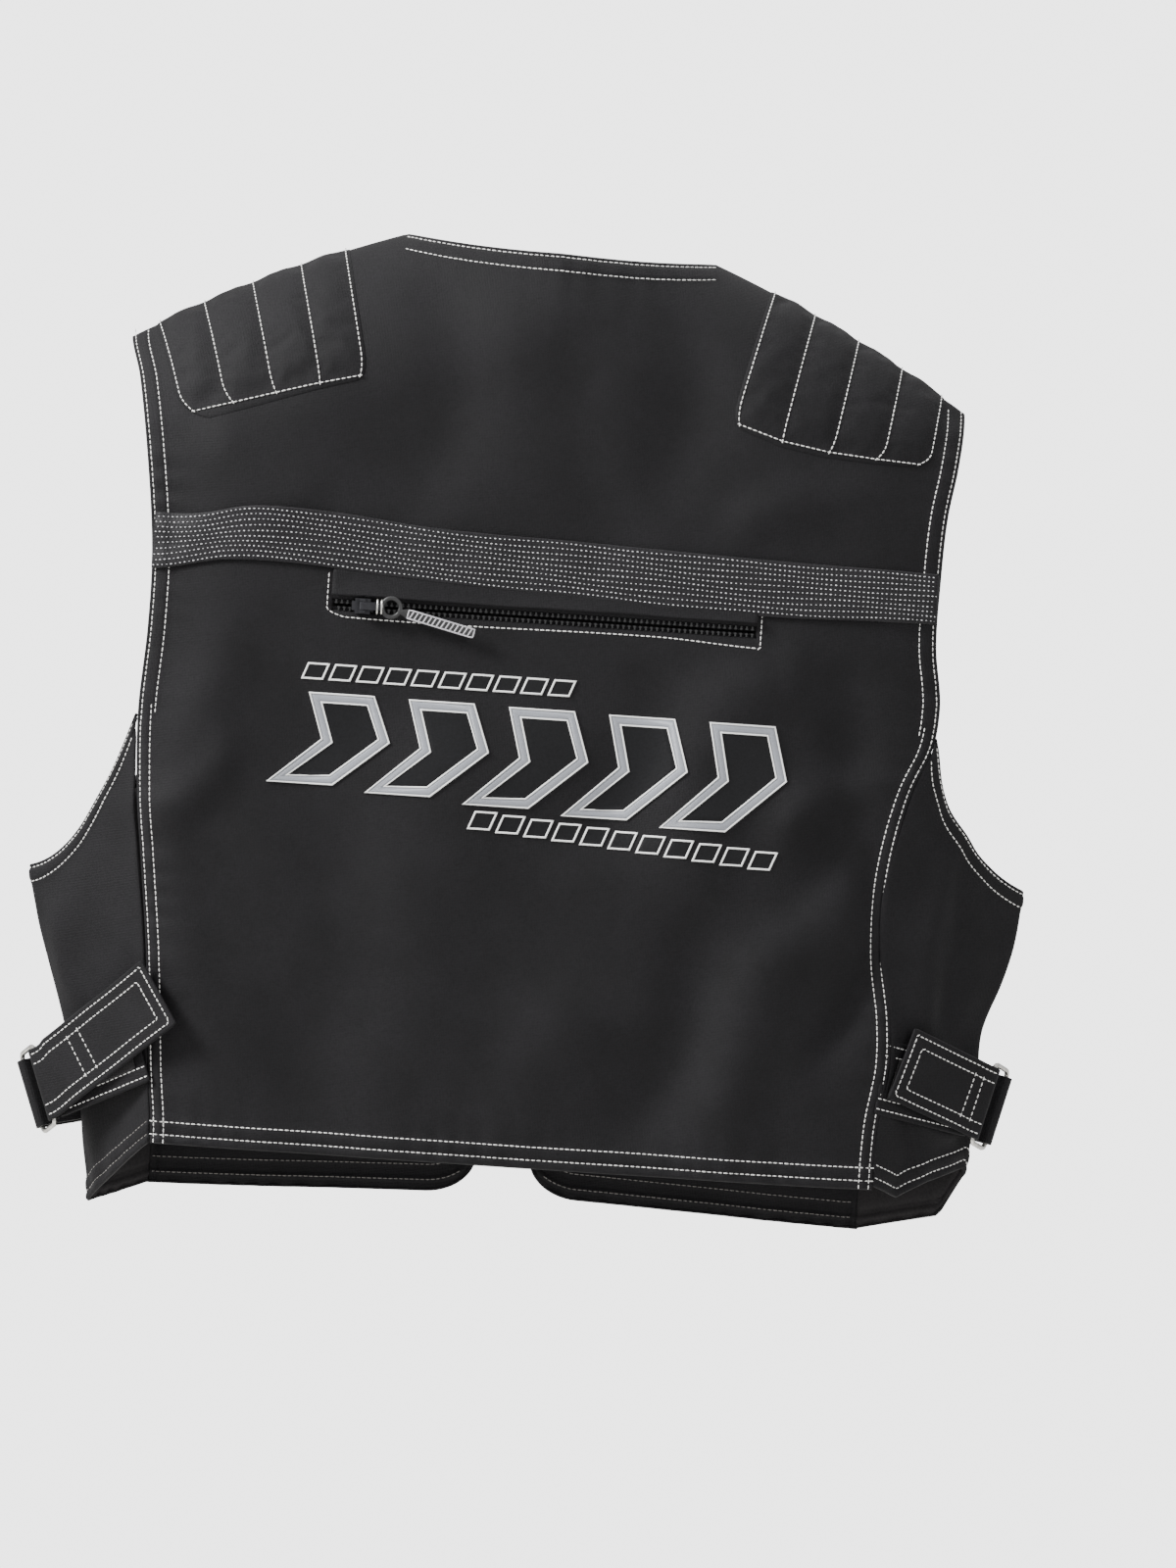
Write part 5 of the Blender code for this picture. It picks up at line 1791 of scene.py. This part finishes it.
def makeShoulder(side):
    columns, rows = shoulder["columns"], shoulder["rows"]
    points, v = shoulderGrid(side, columns, rows)
    up = np.zeros_like(points)
    up[..., 1] = np.sign(v)[:, None]
    up[..., 2] = 0.35
    normals = gridNormals(points, up)
    seams = np.zeros((rows, columns), bool)
    seams[1, :] = seams[-2, :] = seams[:, 1] = seams[:, -2] = True
    lineColumns = [int(round(c * (columns - 1))) for c in shoulder["channels"]]
    for column in lineColumns:
        seams[:, column] = True
    nearest = np.full((rows, columns), 99.0)
    stops = [1] + lineColumns + [columns - 2]
    for j in range(columns):
        nearest[:, j] = min(abs(j - stop) for stop in stops)
    ends = np.minimum(np.arange(rows) - 1, rows - 2 - np.arange(rows))
    nearest = np.minimum(nearest, np.maximum(ends, 0)[:, None])
    start = 0.8 + 0.7 * smooth(nearest / 5.0)
    start[[0, -1], :] = start[:, [0, -1]] = 0.5
    outer = points + normals * start[..., None]
    inner = points - normals * 0.2
    made, border = slab(f"shoulder_pad_cloth_{side}", outer, inner, nylon)
    count = rows * columns
    held = [int(k) for k in np.flatnonzero(seams)] + border + list(range(count, 2 * count))
    inflate(made, held)
    puffed = np.array([tuple(p.co) for p in made.data.vertices]) / mm
    outside = puffed[:count].reshape(rows, columns, 3)
    rise = ((outside - points) * normals).sum(-1)
    print(side, "shoulder rises", round(float(rise.max()), 2))
    modifier = made.modifiers.new("smooth", "SUBSURF")
    modifier.levels = modifier.render_levels = 1
    applyAll(made)
    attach(made, "vest")
    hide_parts(f"shoulder_foam_{side}", f"shoulder_cover_{side}")
    raised = outside + normals * 0.35
    lines = [raised[1:-1, 1], raised[1:-1, -2], raised[1, 1:-1], raised[-2, 1:-1]]
    lines += [raised[1:-1, column] for column in lineColumns]
    stitching = sew(f"shoulder_stitching_{side}", [lineThrough(l, 1.5) for l in lines], thread)
    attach(stitching, "vest")


quilting = {
    "quality": 6,
    "mass": 0.3,
    "tension_stiffness": 15,
    "compression_stiffness": 15,
    "shear_stiffness": 5,
    "bending_stiffness": 2.0,
    "use_pressure": True,
    "uniform_pressure_force": 1.8,
    "shrink_min": -0.015,
    "vertex_group_mass": "held",
    "pin_stiffness": 1.0,
}
quiltFrames = 20


def inflate(made, held):
    # Air pressure between the sewn lines, with the lines and the underside held.
    group = made.vertex_groups.new(name="held")
    group.add(held, 1.0, "REPLACE")
    before = [v.co.copy() for v in made.data.vertices]
    modifier = made.modifiers.new("cloth", "CLOTH")
    settings = modifier.settings
    for key, value in quilting.items():
        setattr(settings, key, value)
    settings.effector_weights.gravity = 0
    modifier.collision_settings.use_collision = False
    modifier.point_cache.frame_start = 1
    modifier.point_cache.frame_end = quiltFrames
    scene = bpy.context.scene
    for frameNumber in range(1, quiltFrames + 1):
        scene.frame_set(frameNumber)
    depsgraph = bpy.context.evaluated_depsgraph_get()
    done = made.evaluated_get(depsgraph)
    after = [v.co.copy() for v in done.data.vertices]
    made.modifiers.clear()
    scene.frame_set(1)
    limit = shoulder["puff"] * mm
    for vertex, old, new in zip(made.data.vertices, before, after):
        move = new - old
        if move.length > limit:
            move *= limit / move.length
        vertex.co = old + move
    made.data.update()


for side in sides:
    makeShoulder(side)
print("shoulders quilted")


# embroidery

def satinFloss(name, colour, shadow, pitch=0.42):
    # rayon floss laid side by side: bright, with a painted shade line between the threads
    made, tree, shader = newMaterial(name, 0.38, Sheen_Weight=0.15, IOR=1.5)
    place = addNode(tree, "ShaderNodeUVMap", {"uv_map": "satin"})
    threads = addNode(
        tree,
        "ShaderNodeTexWave",
        {"bands_direction": "X"},
        Vector=(place, 0),
        Scale=math.pi / 10 / pitch,
        Distortion=1.4,
        Detail=1.0,
    )
    colours = ramp(tree, (threads, "Fac"), linear(shadow), linear(colour), 0.05, 0.45)
    tree.links.new(colours.outputs[0], shader.inputs["Base Color"])
    relief = addNode(
        tree, "ShaderNodeBump", Height=(threads, "Fac"), Strength=0.5, Distance=0.15 * mm
    )
    tree.links.new(relief.outputs[0], shader.inputs["Normal"])
    return made


def offsetPath(corners, distance):
    # A closed outline moved inwards by a distance, its corners mitred.
    corners = np.asarray(corners, float)
    before = corners - np.roll(corners, 1, 0)
    after = np.roll(corners, -1, 0) - corners
    before /= np.linalg.norm(before, axis=1, keepdims=True)
    after /= np.linalg.norm(after, axis=1, keepdims=True)
    sideBefore = np.stack([before[:, 1], -before[:, 0]], -1)
    sideAfter = np.stack([after[:, 1], -after[:, 0]], -1)
    mitre = sideBefore + sideAfter
    mitre /= np.linalg.norm(mitre, axis=1, keepdims=True)
    share = np.maximum((mitre * sideAfter).sum(1), 0.45)
    return corners + mitre * (distance / share)[:, None]


def satinRing(corners, shift, width, height, gap=1.3):
    # Points, faces and pattern places of a raised satin band along a closed outline.
    section = [(-0.5, -0.35), (-0.5, 0.1), (-0.4, 0.65), (-0.18, 0.95), (0.18, 0.95), (0.4, 0.65),
               (0.5, 0.1), (0.5, -0.35)]
    rails = [offsetPath(corners, shift + a * width) for a, _ in section]
    middle = offsetPath(corners, shift)
    rows, along = [], []
    total = 0.0
    for k in range(len(middle)):
        m = (k + 1) % len(middle)
        length = np.linalg.norm(middle[m] - middle[k])
        steps = max(int(length / gap), 2)
        for step in range(steps):
            share = step / steps
            rows.append([rail[k] + (rail[m] - rail[k]) * share for rail in rails])
            along.append(total + length * share)
        total += length
    rows = np.array(rows)
    lifts = np.array([b * height for _, b in section])
    points = backPoint(rows[..., 0], rows[..., 1], 0.12 + lifts[None, :])
    count, wide = points.shape[:2]
    faces, places = [], []
    for i in range(count):
        j = (i + 1) % count
        for k in range(wide):
            m = (k + 1) % wide
            faces.append((i * wide + k, j * wide + k, j * wide + m, i * wide + m))
            a, b = along[i], along[j] if j else total
            c, d = section[k][0] * width, section[m][0] * width
            places += [(a, c), (b, c), (b, d), (a, d)]
    return points.reshape(-1, 3), faces, places


def satinObject(name, rings, finish):
    points, faces, places = [], [], []
    start = 0
    for ringPoints, ringFaces, ringPlaces in rings:
        points.append(ringPoints)
        faces += [tuple(k + start for k in face) for face in ringFaces]
        places += ringPlaces
        start += len(ringPoints)
    made = meshObject(name, np.concatenate(points), faces, finish)
    layer = made.data.uv_layers.new(name="satin")
    layer.data.foreach_set("uv", np.array(places, np.float32).reshape(-1))
    faceOut(made)
    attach(made, "vest")
    return made


def fillPatch(corners, inset):
    # The slightly raised filling of one outline, cut into strips from left to right.
    shape = offsetPath(corners, inset)
    low, high = shape[:, 1].min(), shape[:, 1].max()
    levels = np.linspace(low + 0.05, high - 0.05, 26)
    rows = []
    for level in levels:
        hits = []
        for k in range(len(shape)):
            a, b = shape[k], shape[(k + 1) % len(shape)]
            if (a[1] - level) * (b[1] - level) < 0:
                share = (level - a[1]) / (b[1] - a[1])
                hits.append(a[0] + (b[0] - a[0]) * share)
        hits.sort()
        rows.append((hits[0], hits[-1]))
    share = np.linspace(0, 1, 9)
    x = np.array([a + (b - a) * share for a, b in rows])
    return backPoint(x, np.broadcast_to(levels[:, None], x.shape), 0.35)


emblem = {
    "count": 5,
    "left": -131.0,
    "pitch": 50.0,
    "width": 52.0,
    "slant": 0.4,
    "top": (-233.5, -0.5),  # of the first chevron, and what each next one adds
    "bottom": (-280.0, -2.6),
    "notch": 17.0,
    "tip": 18.6,
    # rows of blocks: start, end, how many and how tall
    "blocks": [((-117, -227.0), (22, -227.5), 10, 8.5), ((-28, -297.5), (129, -309.5), 11, 9.5)],
}


def chevronCorners(k):
    left = emblem["left"] + k * emblem["pitch"]
    high = emblem["top"][0] + emblem["top"][1] * k
    low = emblem["bottom"][0] + emblem["bottom"][1] * k
    width, shoulderX = emblem["width"], emblem["width"] - emblem["tip"]
    flat = [(0, 0), (shoulderX, 0), (width, 0.5), (shoulderX, 1), (0, 1), (emblem["notch"], 0.5)]
    tall = high - low
    return [(left + a + emblem["slant"] * b * tall, low + b * tall) for a, b in flat]


def blockRow(start, end, count, tall):
    corners = []
    for k in range(count):
        x = start[0] + (end[0] - start[0]) * k / count
        z = start[1] + (end[1] - start[1]) * k / count
        wide = abs(end[0] - start[0]) / count - 2.6
        lean = 0.38 * tall
        corners.append([(x, z), (x + wide, z), (x + wide + lean, z + tall), (x + lean, z + tall)])
    return corners


def makeEmblem():
    silver, white, fills = [], [], []
    # a wide silver band between two narrow white ones; each has its inset, width and height
    for k in range(emblem["count"]):
        corners = chevronCorners(k)[::-1]
        silver.append(satinRing(corners, 2.6, 3.6, 0.75))
        white.append(satinRing(corners, 0.35, 0.9, 0.95))
        white.append(satinRing(corners, 4.8, 0.9, 0.85))
        fills.append(fillPatch(corners, 4.6))
    for row in emblem["blocks"]:
        for corners in blockRow(*row):
            white.append(satinRing(corners[::-1], 0.5, 1.0, 0.7))
            fills.append(fillPatch(corners[::-1], 0.9))
    satinObject("emblem_silver_satin", silver, silverSatin)
    satinObject("emblem_white_satin", white, whiteSatin)
    for k, points in enumerate(fills):
        patch = shell(f"emblem_fill_{k + 1}", points, 0.3, facing(points, -1), darkSatin)
        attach(patch, "vest")


silverSatin = satinFloss("rayon_satin_silver", "#8C8F96", "#484A50")
whiteSatin = satinFloss("rayon_satin_white", "#F2F2F0", "#A9A9A8")
darkSatin = wovenCloth("rayon_fill_black", "#050506", "#121214", 0.6, 0.5, 0.0, 0.5)
makeEmblem()
print("emblem sewn")
